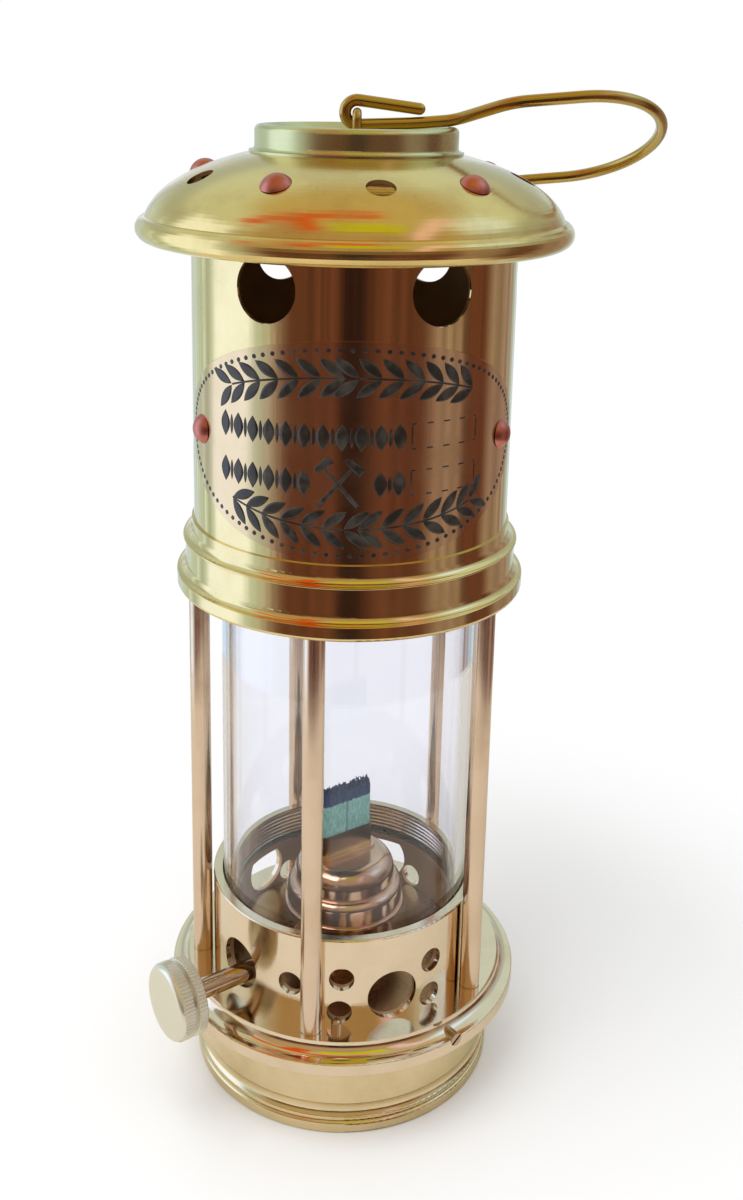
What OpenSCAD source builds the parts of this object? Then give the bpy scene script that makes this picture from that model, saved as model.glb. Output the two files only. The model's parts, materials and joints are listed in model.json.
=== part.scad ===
// Miner's oil safety lamp in polished brass. A low oil font carries a pierced gallery round the
// burner, and a glass stands between five pillars under a bonnet with a domed hood and a hook.
// The origin is on the lamp's axis at the underside of the foot and +Z is up. The plate faces
// -Y. Angles go round from the front (-Y) towards +X. All sizes are in millimetres.

/* [Font and foot] */
// Height of the font up to the joint under the ring
font_h = 17; // [12:0.1:30]
// Thickness of the font's wall and floor
font_wall = 1.6; // [1.2:0.1:2.2]
// Thickness of the font's lid
lid_t = 1.4; // [1:0.1:2]
// Reach of the foot's lip beyond the font's wall
foot_flare = 0.5; // [0.3:0.1:3]
// Height of the foot's lip
foot_lip_h = 3; // [2:0.1:4]
// Height of the bead above the lip
foot_bead_h = 1.4; // [1.2:0.1:2]
// Height of the hollow above the bead
foot_hollow_h = 3.4; // [2:0.1:4.4]
// Depth of the hollow
foot_hollow_d = 0.7; // [0.3:0.1:1]

/* [Lower ring] */
// Height of the ring's plain skirt
ring_skirt_h = 3.4; // [2:0.1:12]
// Thickness of the ring's skirt wall
ring_skirt_t = 1.6; // [1.2:0.1:2.2]
// Height of the ring's outer band
ring_band_h = 3.1; // [2:0.1:5]
// Radius of the hollow curve between the band and the ledge
ring_cove = 2.8; // [2:0.1:3.4]
// Reach of the band beyond the edge of the ledge
ring_step = 3.9; // [3.8:0.1:6]
// Width of the ledge outside the pillars
ledge_margin = 1.1; // [0.6:0.1:3]
// Depth of the gallery's seat in the ring
gallery_seat_h = 4.7; // [3.6:0.1:5.4]
// Width of the shelf that holds the font's neck under the gallery
gallery_shelf = 2; // [1.2:0.1:3]

/* [Gallery] */
// Wall of the gallery
gallery_wall = 2.2; // [1.6:0.1:3]
// Height of the gallery over the ledge of the ring
gallery_h = 21.6; // [20:0.1:30]
// Diameter of the large air holes
large_hole_d = 12; // [9:0.1:12.4]
// Diameter of the small air holes
small_hole_d = 5.8; // [3:0.1:6]

/* [Pillars] */
// Diameter of a pillar
pillar_d = 4.76; // [4.2:0.02:5.4]
// Gap between the pillars and the gallery
pillar_gap = 0.3; // [0.1:0.1:2]
// Height of the pillars between the rings
pillar_h = 97.2; // [70:0.2:140]
// Place of the first pillar round the lamp, in degrees from the front
pillar_turn = -83.8; // [-86:0.2:-80]
// Diameter of the tenons
tenon_d = 3.2; // [2:0.1:3.6]
// Length of a tenon
tenon_l = 4; // [2:0.1:4.4]

/* [Glass] */
// Outside diameter of the glass
glass_d = 59.6; // [56:0.2:80]
// Wall of the glass
glass_wall = 2.4; // [1.6:0.1:3]
// Gap between the glass and the gallery
glass_gap = 0.3; // [0.1:0.1:0.8]
// Height of the gallery that overlaps the glass
glass_sink = 6.5; // [4:0.1:8]
// Thickness of a gasket
gasket_t = 0.8; // [0.5:0.1:1.5]
// Thickness of the threaded ring under the glass
seat_ring_t = 1.6; // [1:0.1:2.5]

/* [Upper ring] */
// Height of the ring's outer rim
upper_rim_h = 3.4; // [2.8:0.1:4.4]
// Radius of the hollow curve over the rim
upper_cove = 1.8; // [1:0.1:2.6]
// Height of the plain band over the curve
upper_band_h = 1.4; // [0.8:0.1:4]
// Width of the band outside the pillars
upper_margin = 0.6; // [0.4:0.1:2]
// Depth of the pocket for the glass
glass_pocket_h = 3.5; // [3:0.1:4]
// Height of the screwed neck
neck_h = 7; // [5:0.1:8]
// Wall of the screwed neck
neck_wall = 3; // [2:0.1:4]

/* [Bonnet] */
// Height of the bonnet from its seat to the top of the tube
bonnet_h = 77.9; // [76:0.1:110]
// Wall of the bonnet's tube
shell_t = 0.9; // [0.7:0.1:1]
// Step in from the band of the skirt to the tube
skirt_step = 2; // [1.6:0.1:2.6]
// Thickness of the skirt round the neck
skirt_wall = 3.3; // [2.8:0.1:4]
// Height of the skirt's plain band
skirt_band_h = 4.4; // [3.6:0.1:6]
// Reach of the skirt's flange beyond the band
flange_step = 0.5; // [0.3:0.1:1.4]
// Thickness of the skirt's flange
flange_t = 0.5; // [0.5:0.1:1]
// Thickness of the skirt's collar round the tube
collar_t = 0.5; // [0.4:0.1:0.8]
// Height of the collar
collar_h = 2.2; // [1.6:0.1:3]
// Number of vent holes in the tube
vent_n = 6; // [3:1:8]
// Diameter of the vent holes in the tube
vent_d = 14; // [8:0.2:14.4]
// Distance of the vent holes' centres below the top of the tube
vent_drop = 12.7; // [11:0.1:16]

/* [Plate] */
// Width of the oval plate, measured round the tube
plate_w = 92.8; // [84:0.2:96]
// Height of the oval plate
plate_h = 46.6; // [24:0.2:46.8]
// Thickness of the plate
plate_t = 0.35; // [0.3:0.05:0.8]
// Height of the plate's middle over the bonnet's seat
plate_z = 32.6; // [32.6:0.1:40]
// Inset of the plate's rivets from its ends, measured round the tube
plate_rivet_inset = 7.4; // [5:0.1:12]

/* [Hood] */
// Reach of the dome beyond the tube
hood_over = 10.3; // [9:0.1:14]
// Rise of the dome if it ran up to a full curve
hood_rise = 18.7; // [17:0.1:26]
// Thickness of the hood's sheet
hood_t = 1; // [0.8:0.1:1.3]
// Distance of the brim's middle below the top of the bonnet's tube
hood_drop = 3.5; // [2.4:0.1:4]
// Height of the rolled edge
brim_h = 5.4; // [4:0.1:5.6]
// Distance of the rolled edge's middle inside the dome's widest circle
brim_in = 1.1; // [0.8:0.1:1.6]
// Diameter of the holes in the hood
hood_hole_d = 6; // [3:0.1:8]

/* [Rivets] */
// Diameter of a rivet's head
rivet_head_d = 6.5; // [4:0.1:7]
// Height of a rivet's head
rivet_head_h = 2; // [1:0.1:2.2]
// Diameter of a rivet's shank
rivet_d = 3; // [1.6:0.1:3.4]

/* [Crown] */
// Diameter of the crown
crown_d = 44.2; // [40:0.2:45]
// Height of the crown over its seat on the hood
crown_h = 5.85; // [4.5:0.05:8]
// Depth of the dish in the crown's top
crown_dish = 1.3; // [0.6:0.1:1.6]
// Thickness of the crown's base flange
crown_flange_t = 0.5; // [0.4:0.1:1]

/* [Staple and hook] */
// Diameter of the staple's wire
staple_wire_d = 2; // [1.4:0.1:2.2]
// Distance between the middles of the staple's legs
staple_w = 7.2; // [6.6:0.1:10]
// Height of the staple's bar over the dish of the crown
staple_bar_h = 4; // [4:0.1:6]
// Diameter of the hook's wire
hook_wire_d = 2.6; // [2:0.1:2.6]
// Play of the hook's eye on the bar, on the radius
eye_play = 0.3; // [0.2:0.05:0.6]
// Angle of the hook's plane from the vertical
hook_roll = 61; // [50:1:70]

/* [Burner] */
// Diameter of the burner's body
burner_d = 22.4; // [21.6:0.1:26]
// Height of the burner's body
burner_h = 12; // [11.2:0.1:14]
// Wall of the burner's body
burner_wall = 1.2; // [0.8:0.1:1.4]
// Diameter of the burner cap's base flange
cap_flange_d = 29.6; // [28.8:0.1:34]
// Diameter of the cap's lower wall
cap_d = 28.4; // [26:0.1:28.6]
// Height of the cap's lower wall, with the flange
cap_wall_h = 4.7; // [3:0.1:8]
// Diameter of the cap's dome
dome_d = 24.4; // [22:0.1:24.8]
// Height of the burner cap
cap_h = 13.2; // [12:0.1:18]
// Wall of the burner cap
cap_wall = 0.9; // [0.6:0.1:1.2]
// Angle of the wick's width from the lamp's X axis
wick_turn = 35; // [30:1:42]

/* [Wick] */
// Width of the wick
wick_w = 14.3; // [10:0.1:15]
// Thickness of the wick
wick_t = 2.4; // [1.6:0.1:2.6]
// Play of the wick in its tube on each side
wick_play = 0.1; // [0.1:0.05:0.3]
// Room between the wick's face and the tube
wick_room = 0.3; // [0.2:0.05:0.5]
// Wall of the wick tube
tube_wall = 0.3; // [0.2:0.05:0.5]
// Height of the wick tube over the burner cap
tube_over = 6.1; // [4:0.1:10]
// Height of the wick over its tube, as the lamp stands
wick_over = 12; // [8:0.2:16]
// Height of the charred edge of the wick
char_h = 3.8; // [2.2:0.1:6]

/* [Winder] */
// Diameter of the winder's shaft
shaft_d = 3; // [2.4:0.1:3.2]
// Height of the shaft over the ledge of the ring
shaft_z = 6.2; // [6:0.1:7.4]
// Running play of the shaft in its bearings, on the radius
shaft_play = 0.05; // [0.03:0.01:0.1]
// Wall of the sleeve round the shaft
sleeve_wall = 0.8; // [0.4:0.1:1]
// Gap between the sleeve's end and the knob
sleeve_gap = 0.3; // [0.2:0.1:1]
// Room between the ring and the knob
knob_room = 3.7; // [1:0.1:8]
// Diameter of the knob
knob_d = 17.6; // [12:0.1:20]
// Thickness of the knob's front disc
knob_front_t = 4.3; // [3:0.1:6]
// Width of the groove in the knob
knob_groove_w = 0.7; // [0.5:0.1:1.2]
// Thickness of the knob's rear disc
knob_rear_t = 2.4; // [1.6:0.1:4]
// Number of teeth in the knob's knurl
knurl_n = 54; // [30:1:80]
// Gap between the spur wheels and the wick
wheel_gap = 0.1; // [0.1:0.05:0.3]
// Number of teeth of a spur wheel
wheel_teeth = 12; // [8:1:16]

/* [Fits] */
// Gap round screwed and pushed fits, on the radius
fit_gap = 0.1; // [0.05:0.05:0.2]

/* [Hidden] */
$fn = 96;
eps = 0.01;

// Colours as the eye sees them
brass = "#c9a94f";
pale_brass = "#d8ceaa";
copper = "#9c4a3a";
clear = [0.85, 0.87, 0.95, 0.4];
rubber = "#3a3a38";
teal = "#5fa595";

// Heights, from the foot upwards
ring_band_z = font_h + ring_skirt_h;
ring_cove_z = ring_band_z + ring_band_h;
ledge_z = ring_cove_z + ring_cove;
shelf_z = ledge_z - gallery_seat_h;
font_neck_top = shelf_z - lid_t;
gallery_top = ledge_z + gallery_h;
glass_z = gallery_top - glass_sink;
upper_z = ledge_z + pillar_h;
glass_top = upper_z + glass_pocket_h - gasket_t;
upper_rim_top = upper_z + upper_rim_h;
seat_z = upper_rim_top + upper_cove + upper_band_h;
flange_z = seat_z + skirt_band_h;
shell_foot_z = flange_z;
shell_top = seat_z + bonnet_h;
vent_z = shell_top - vent_drop;
hood_z = shell_top - hood_drop;

// As many pillars as there are nodes for them
pillar_n = 5;

// Radii from the glass outwards
glass_r = glass_d / 2;
glass_bore_r = glass_r - glass_wall;
gallery_bore_r = glass_r + glass_gap;
gallery_r = gallery_bore_r + gallery_wall;
pillar_circle_r = gallery_r + pillar_gap + pillar_d / 2;
ledge_r = pillar_circle_r + pillar_d / 2 + ledge_margin;
ring_r = ledge_r + ring_step;
ring_bore_r = gallery_r + gallery_shelf;
font_r = ring_bore_r + ring_skirt_t;
font_neck_r = ring_bore_r - fit_gap;
oil_r = font_neck_r - font_wall;
upper_band_r = pillar_circle_r + pillar_d / 2 + upper_margin;
shell_r = upper_band_r - skirt_step;
shell_bore_r = shell_r - shell_t;
neck_r = upper_band_r - skirt_wall - fit_gap;

// Burner, from the ledge of the ring upwards
burner_r = burner_d / 2;
burner_bore_r = burner_r - burner_wall;
spigot_r = burner_r - 2.2;
cap_z = ledge_z + burner_h;
cap_r = cap_d / 2;
dome_r = dome_d / 2;
cap_base_t = 1;
tube_foot_z = ledge_z - lid_t - 3;
tube_top = cap_z + cap_h + tube_over;
tube_inner_w = wick_w + 2 * wick_play;
tube_inner_t = wick_t + 2 * wick_room;
tube_w = tube_inner_w + 2 * tube_wall;
tube_t = tube_inner_t + 2 * tube_wall;
wick_top = tube_top + wick_over;
wick_foot_z = 14;

// Winder: the shaft runs along the wick's width, in front of it
wheel_r = 3.75;
wheel_w = 2;
wheel_place = 3.2;
shaft_off = wick_t / 2 + wheel_gap + wheel_r;
shaft_axis_z = ledge_z + shaft_z;
shaft_tail = burner_r - 1.3;
sleeve_d = shaft_d + 2 * sleeve_wall;
sleeve_start = burner_bore_r - 2;
sleeve_end = ring_r + knob_room - sleeve_gap;
knob_t = knob_front_t + knob_groove_w + knob_rear_t;
knob_reach = ring_r + knob_room + knob_t;
knob_face_t = 1.6;

// Air holes of the gallery: angle round the lamp, then height over the ledge. The winder's hole
// is the first, and it leads the shaft a little.
quarter_turn = 90;
hole_lead = 3.6;
gallery_mid_r = gallery_r - gallery_wall / 2;
shaft_angle = wick_turn - quarter_turn + asin(shaft_off / gallery_mid_r);
large_holes = [[shaft_angle - hole_lead, 7.6], [21, 6.3], [90, 6.6], [158, 6.6], [227, 6.6]];
small_holes = [[-21.9, 8.8], [-0.4, 11.6], [-1.2, 3.1], [39.3, 11.8], [38.9, 2.9], [70, 3],
  [142, 3], [178, 3], [211, 3]];

// Dome of the hood: half axes of its outside curve, and the crown's seat on it
dome_a = shell_r + hood_over;
dome_b = hood_rise;
brim_middle = [dome_a - brim_in, hood_z];
crown_r = crown_d / 2;
crown_flare = 1.2;
crown_base_r = crown_r + crown_flare;
crown_seat_z = hood_z + dome_b * sqrt(1 - pow(crown_base_r / dome_a, 2));
crown_top = crown_seat_z + crown_h;
crown_spigot_r = 8;

// Row of rivets and holes on the hood: their angles round the lamp and their place on the dome
hood_rivet_angles = [-107, -25.6, 40.9, 122, 187.5];
hood_hole_angles = [-62.6, 7.7, 81.5, 154.8, 220.3];
hood_row_r = shell_r + 0.2;
row_z = hood_z + dome_b * sqrt(1 - pow(hood_row_r / dome_a, 2));
row_tilt = atan(pow(dome_b / dome_a, 2) * hood_row_r / (row_z - hood_z));
lug_t = 0.8;
lug_angle = 12;

// Small fasteners of the lower ring
pin_angle = -2.2;
pin_d = 1.6;
pin_l = 3;
pin_head_d = 2.4;
pin_head_h = 2.4;
pin_circle_r = gallery_r + pin_head_d / 2 + 0.2;
screw_angle = 38.3;
screw_d = 3;
screw_drop = 3.1;
screw_reach = 4.6;
screw_foot_r = ring_r + 0.1 - screw_reach;

// Staple and hook
pivot_z = crown_top - crown_dish + staple_bar_h;
staple_bend = 1.4;
eye_r = staple_wire_d / 2 + eye_play + hook_wire_d / 2;
shank_slope = 2.5;
eye_close = 7;

// A place on the lamp: children face outwards along -Y at the angle, radius and height
module around(angle, radius = 0, z = 0) {
  rotate([0, 0, angle]) translate([0, -radius, z]) children();
}

// A round hole through a wall of the lamp, between two radii
module radial_hole(d, r_in, r_out) {
  rotate([90, 0, 0]) translate([0, 0, r_in - 1]) cylinder(d = d, h = r_out - r_in + 2);
}

// Outlines of turned pieces: a band from the axis out to a radius, with rounded edges. The
// lower edge can have the larger rounding.
module rim(r, z, h, edge, low_edge = 0) {
  low = max(edge, low_edge);
  translate([0, z]) square([r - low, h]);
  translate([0, z + low]) square([r, h - low - edge]);
  translate([0, z + low]) square([r - edge, h - low]);
  translate([r - low, z + low]) circle(low);
  translate([r - edge, z + h - edge]) circle(edge);
}

// A hollow curve from an upright wall at a radius out to a flat at a height
module cove(r, z, size) {
  sunk = 0.3;
  difference() {
    block(r + size, z - sunk, z + size);
    translate([r + size, z + size]) circle(size);
  }
}

// A block of the outline between two heights
module block(r, z0, z1) {
  translate([0, z0]) square([r, z1 - z0]);
}

// A pipe standing on the axis
module pipe(r_out, r_in, z0, z1) {
  translate([0, 0, z0])
    difference() {
      cylinder(r = r_out, h = z1 - z0);
      translate([0, 0, -1]) cylinder(r = r_in, h = z1 - z0 + 2);
    }
}

// A flat oval with round ends
module flat_oval(w, t) {
  square([w - t, t], center = true);
  for (side = [-1, 1])
    translate([side * (w - t) / 2, 0]) circle(d = t);
}

// A domed rivet head that stands on z = 0
module rivet_head(d, h) {
  ball_r = (d * d / 4 + h * h) / (2 * h);
  intersection() {
    translate([0, 0, h - ball_r]) sphere(ball_r);
    cylinder(d = d + 1, h = h);
  }
}

// The five pillars' places
module at_pillar(k) {
  around(pillar_turn + k * 360 / pillar_n, pillar_circle_r) children();
}

// Places of the row of rivets or of holes on the hood, square to its surface
module on_dome(angles) {
  for (a = angles)
    around(a, hood_row_r, row_z) rotate([row_tilt, 0, 0]) children();
}

// The wick's own frame: X along its width
module at_wick() {
  rotate([0, 0, wick_turn]) children();
}

// The winder's shaft: Z runs outwards to the knob, from the middle of the burner
module on_shaft() {
  at_wick() translate([0, -shaft_off, shaft_axis_z]) rotate([0, -90, 0]) children();
}

// Turned oil font: moulded foot, plain wall and the neck that the ring screws on
module base_font() {
  foot_r = font_r + foot_flare;
  wall_z = foot_lip_h + foot_bead_h;
  hollow_r = (pow(foot_hollow_h / 2, 2) + pow(foot_hollow_d, 2)) / (2 * foot_hollow_d);
  color(brass)
    rotate_extrude()
      difference() {
        union() {
          rim(foot_r, 0, foot_lip_h, 0.7);
          rim(font_r + 0.1, foot_lip_h, foot_bead_h, 0.5);
          block(font_r, wall_z, font_h);
          block(font_neck_r, font_h - 1, font_neck_top);
        }
        translate([font_r - foot_hollow_d + hollow_r, wall_z + foot_hollow_h / 2])
          circle(hollow_r);
        block(oil_r, font_wall, font_neck_top + 1);
      }
}

// Lid of the font: a flange on the neck and a raised plug with the burner's hole
module font_top() {
  plug_r = gallery_bore_r - fit_gap;
  color(brass)
    rotate_extrude()
      difference() {
        union() {
          block(font_neck_r, font_neck_top, shelf_z);
          block(plug_r, shelf_z - eps, ledge_z);
        }
        block(plug_r - lid_t, font_neck_top - 1, ledge_z - lid_t);
        block(spigot_r, font_neck_top - 1, ledge_z + 1);
      }
}

// Ring under the pillars: skirt over the font's neck, outer band, hollow curve and flat ledge
module lower_ring() {
  color(brass)
    difference() {
      rotate_extrude()
        difference() {
          union() {
            block(font_r, font_h, ring_band_z + 1);
            rim(ring_r, ring_band_z, ring_band_h, 0.3);
            cove(ledge_r, ring_cove_z, ring_cove);
          }
          block(ring_bore_r, font_h - 1, shelf_z);
          block(gallery_r, font_h, ledge_z + 1);
        }
      for (k = [0 : pillar_n - 1])
        at_pillar(k) translate([0, 0, ledge_z - tenon_l]) cylinder(d = tenon_d, h = tenon_l + 1);
      around(pin_angle, pin_circle_r, ledge_z - pin_l) cylinder(d = pin_d, h = pin_l + 1);
      around(screw_angle, screw_foot_r, ledge_z - screw_drop)
        rotate([90, 0, 0]) cylinder(d = screw_d, h = screw_reach + 2);
    }
}

// Pierced gallery round the burner
module gallery() {
  color(brass)
    difference() {
      rotate_extrude()
        difference() {
          rim(gallery_r, shelf_z, gallery_top - shelf_z, 0.4);
          block(gallery_bore_r, shelf_z - 1, gallery_top + 1);
        }
      for (a = large_holes)
        around(a[0], 0, ledge_z + a[1]) radial_hole(large_hole_d, gallery_bore_r, gallery_r);
      for (h = small_holes)
        around(h[0], 0, ledge_z + h[1]) radial_hole(small_hole_d, gallery_bore_r, gallery_r);
    }
}

// Threaded ring that carries the glass in the gallery
module glass_seat_ring() {
  color(brass)
    difference() {
      pipe(gallery_bore_r, glass_bore_r, glass_z - gasket_t - seat_ring_t, glass_z - gasket_t);
      for (a = [30, 210])
        around(a, glass_bore_r, glass_z - gasket_t - 0.8)
          translate([-1, -1, 0]) cube([2, 2, 1.8]);
    }
}

module gasket(z) {
  color(rubber) pipe(glass_r, glass_bore_r, z, z + gasket_t);
}

module glass_gasket_lower() {
  gasket(glass_z - gasket_t);
}

module glass_gasket_upper() {
  gasket(glass_top);
}

// Clear glass cylinder with softened ends
module glass() {
  color(clear)
    rotate_extrude()
      difference() {
        rim(glass_r, glass_z, glass_top - glass_z, 0.5);
        block(glass_bore_r, glass_z - 1, glass_top + 1);
      }
}

// Turned pillar with a tenon at each end
module pillar(k) {
  r = pillar_d / 2;
  tenon_r = tenon_d / 2;
  edge = 0.25;
  color(brass)
    at_pillar(k) translate([0, 0, ledge_z])
      rotate_extrude()
        polygon([[0, -tenon_l], [tenon_r, -tenon_l], [tenon_r, 0], [r - edge, 0], [r, edge],
          [r, pillar_h - edge], [r - edge, pillar_h], [tenon_r, pillar_h],
          [tenon_r, pillar_h + tenon_l], [0, pillar_h + tenon_l]]);
}

// Ring over the pillars: rim, hollow curve, plain band, pocket for the glass and screwed neck
module upper_ring() {
  shelf_top = upper_z + glass_pocket_h + 2;
  rim_edge = 0.2;
  color(brass)
    difference() {
      rotate_extrude()
        difference() {
          union() {
            rim(upper_band_r + upper_cove + rim_edge, upper_z, upper_rim_h, rim_edge, 0.9);
            cove(upper_band_r, upper_rim_top, upper_cove);
            block(upper_band_r, upper_z + 1, seat_z);
            block(neck_r, upper_z + 1, seat_z + neck_h);
          }
          block(gallery_bore_r, upper_z - 1, upper_z + glass_pocket_h);
          block(glass_bore_r, upper_z, seat_z + neck_h + 1);
          block(neck_r - neck_wall, shelf_top, seat_z + neck_h + 1);
        }
      for (k = [0 : pillar_n - 1])
        at_pillar(k) translate([0, 0, upper_z - 1]) cylinder(d = tenon_d, h = tenon_l + 1);
    }
}

// Screwed skirt of the bonnet: plain band, thin flange, hollow curve and collar round the tube
module bonnet_skirt() {
  flange_r = upper_band_r + flange_step;
  flange_top = flange_z + flange_t;
  flange_edge = flange_t / 2 - 0.05;
  collar_r = shell_r + collar_t;
  skirt_cove = flange_r - flange_edge - collar_r;
  collar_top = flange_top + skirt_cove + collar_h;
  color(brass)
    rotate_extrude()
      difference() {
        union() {
          block(upper_band_r, seat_z, flange_z + flange_t / 2);
          rim(flange_r, flange_z, flange_t, flange_edge);
          cove(collar_r, flange_top, skirt_cove);
          block(collar_r, flange_z, collar_top);
        }
        block(neck_r + fit_gap, seat_z - 1, shell_foot_z);
        block(shell_r, shell_foot_z, collar_top + 1);
      }
}

// Plain tube of the bonnet with its vent holes and the holes for the plate's rivets
module bonnet_shell() {
  color(brass)
    difference() {
      pipe(shell_r, shell_bore_r, shell_foot_z, shell_top);
      for (k = [0 : vent_n - 1])
        around((k - 0.5) * 360 / vent_n, 0, vent_z) radial_hole(vent_d, shell_bore_r, shell_r);
      at_plate_rivets() radial_hole(rivet_d, shell_bore_r, shell_r);
    }
}

module at_plate_rivets() {
  reach = (plate_w / 2 - plate_rivet_inset) / shell_r * 180 / PI;
  for (side = [-1, 1])
    around(side * reach, 0, seat_z + plate_z) children();
}

// Blank oval plate, bent to the tube: the oval is laid out flat and wrapped round
module name_plate() {
  outline = [for (t = [0 : 6 : 354])
    [shell_r * sin(plate_w / 2 * cos(t) / shell_r * 180 / PI), plate_h / 2 * sin(t)]];
  color(brass)
    difference() {
      intersection() {
        pipe(shell_r + plate_t, shell_r, seat_z, shell_top);
        translate([0, 0, seat_z + plate_z])
          rotate([90, 0, 0]) linear_extrude(height = shell_r + 2) polygon(outline);
      }
      at_plate_rivets() radial_hole(rivet_d, shell_r, shell_r + plate_t);
    }
}

// Copper rivets of the plate, with a flat peened disc inside the tube
module plate_rivets() {
  peen_d = rivet_d + 1.4;
  peen_t = 0.6;
  head_z = shell_r + plate_t;
  peen_r = sqrt(pow(shell_bore_r, 2) - pow(peen_d / 2, 2));
  color(copper)
    at_plate_rivets()
      rotate([90, 0, 0]) {
        translate([0, 0, peen_r - peen_t]) {
          cylinder(d = peen_d, h = peen_t);
          cylinder(d = rivet_d, h = head_z - peen_r + peen_t + rivet_head_h / 2);
        }
        translate([0, 0, head_z]) rivet_head(rivet_head_d, rivet_head_h);
      }
}

// A point of the dome's section, a distance inside its outside curve
function dome_point(t, inset) =
  [(dome_a - inset) * cos(t), hood_z + (dome_b - inset) * sin(t)];

// The dome's parameter at a radius, on the curve a distance inside
function dome_turn(r, inset) = acos(r / (dome_a - inset));

// The dome's parameter where its curve meets the rolled edge, found by halving
function edge_turn(inset, low = 0, high = 40, halvings = 20) =
  let (mid = (low + high) / 2, inside = norm(dome_point(mid, inset) - brim_middle) < brim_h / 2)
  halvings == 0 ? mid :
  edge_turn(inset, inside ? mid : low, inside ? high : mid, halvings - 1);

// Spun hood: dome, rolled edge, flat seat for the crown, vent holes and rivet holes. The rolled
// edge runs round from where it meets the dome's outside to where it meets the inside.
module hood() {
  steps = 22;
  brim_steps = 28;
  top_turn = dome_turn(crown_base_r, 0);
  under_turn = asin((crown_seat_z - hood_t - hood_z) / (dome_b - hood_t));
  out_turn = edge_turn(0);
  in_turn = edge_turn(hood_t);
  first = dome_point(out_turn, 0) - brim_middle;
  last = dome_point(in_turn, hood_t) - brim_middle;
  start = atan2(first[1], first[0]);
  sweep = 360 + start - atan2(last[1], last[0]);
  outside = [for (i = [0 : steps]) dome_point(top_turn + (out_turn - top_turn) * i / steps, 0)];
  brim = [for (i = [1 : brim_steps - 1])
    let (t = start - sweep * i / brim_steps) brim_middle + brim_h / 2 * [cos(t), sin(t)]];
  inside = [for (i = [0 : steps])
    dome_point(in_turn + (under_turn - in_turn) * i / steps, hood_t)];
  color(brass)
    difference() {
      rotate_extrude() polygon(concat([[crown_spigot_r, crown_seat_z]], outside, brim, inside,
        [[crown_spigot_r, crown_seat_z - hood_t]]));
      on_dome(hood_rivet_angles) translate([0, 0, -4]) cylinder(d = rivet_d, h = 8);
      on_dome(hood_hole_angles) translate([0, 0, -4]) cylinder(d = hood_hole_d, h = 8);
    }
}

// Lugs that carry the hood: a leg inside the tube and a bent top under the dome
module hood_brackets() {
  leg_r = shell_bore_r - lug_t;
  out_turn = dome_turn(hood_row_r + 3.6, hood_t);
  in_turn = dome_turn(leg_r, hood_t);
  steps = 6;
  top = [for (i = [0 : steps]) dome_point(out_turn + (in_turn - out_turn) * i / steps, hood_t)];
  under = [for (i = [steps : -1 : 0])
    dome_point(out_turn + (in_turn - out_turn) * i / steps, hood_t + lug_t)];
  leg_top = under[0][1];
  color(brass)
    difference() {
      for (a = hood_rivet_angles)
        rotate([0, 0, a - quarter_turn - lug_angle / 2])
          rotate_extrude(angle = lug_angle) {
            polygon(concat(top, under));
            translate([leg_r, shell_top - 6]) square([lug_t, leg_top - shell_top + 6]);
          }
      on_dome(hood_rivet_angles) translate([0, 0, -6]) cylinder(d = rivet_d, h = 8);
    }
}

// Copper rivets that hold the hood to its lugs
module hood_rivets() {
  color(copper)
    on_dome(hood_rivet_angles) {
      translate([0, 0, -hood_t - lug_t])
        cylinder(d = rivet_d, h = hood_t + lug_t + rivet_head_h / 2);
      rivet_head(rivet_head_d, rivet_head_h);
    }
}

// Turned crown: base flange, rounded top edge, dished top, and a spigot through the hood
module crown_cap() {
  edge = 1.2;
  dish_r = crown_r - 2.2;
  peen_z = crown_seat_z - hood_t - 0.8;
  color(brass)
    difference() {
      rotate_extrude()
        difference() {
          union() {
            block(crown_base_r, crown_seat_z, crown_seat_z + crown_flange_t);
            cove(crown_r, crown_seat_z + crown_flange_t, crown_flare - 0.2);
            block(crown_r, crown_seat_z, crown_top - edge);
            block(crown_r - edge, crown_seat_z, crown_top);
            translate([crown_r - edge, crown_top - edge]) circle(edge);
            block(crown_spigot_r, peen_z, crown_seat_z + eps);
            block(crown_spigot_r + 1.6, peen_z, peen_z + 0.8);
          }
          polygon([[0, crown_top - crown_dish], [dish_r - 2.5, crown_top - crown_dish],
            [dish_r, crown_top + eps], [0, crown_top + eps]]);
        }
      for (side = [-1, 1])
        translate([0, side * staple_w / 2, peen_z - 1])
          cylinder(d = staple_wire_d, h = crown_top - peen_z + 2);
    }
}

// Wire staple on the crown that the hook's eye hangs on
module hook_staple() {
  foot_z = crown_seat_z - hood_t - 0.8;
  flat = staple_w - 2 * staple_bend;
  color(brass) {
    translate([0, flat / 2, pivot_z]) rotate([90, 0, 0]) cylinder(d = staple_wire_d, h = flat);
    for (side = [0, 1])
      rotate([0, 0, side * 180]) {
        translate([0, flat / 2, pivot_z - staple_bend]) rotate([90, 0, 90])
          rotate_extrude(angle = 90) translate([staple_bend, 0]) circle(d = staple_wire_d);
        translate([0, staple_w / 2, foot_z])
          cylinder(d = staple_wire_d, h = pivot_z - staple_bend - foot_z);
        translate([0, staple_w / 2, foot_z - 0.6])
          cylinder(d = staple_wire_d + 1.2, h = 0.6);
      }
  }
}

// A state of the wire: its place, its heading, the side that it bends to, and the roll so far
function wire_go(w, l) = [w[0] + w[1] * l, w[1], w[2], w[3]];
function wire_bend(w, r, a) = [
  w[0] + sign(a) * r * (w[2] * (1 - cos(a)) + w[1] * sin(a)),
  w[1] * cos(a) + w[2] * sin(a),
  w[2] * cos(a) - w[1] * sin(a),
  w[3]];
function wire_roll(w, a) =
  [w[0], w[1], w[2] * cos(a) + cross(w[1], w[2]) * sin(a), w[3] + a];

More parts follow.
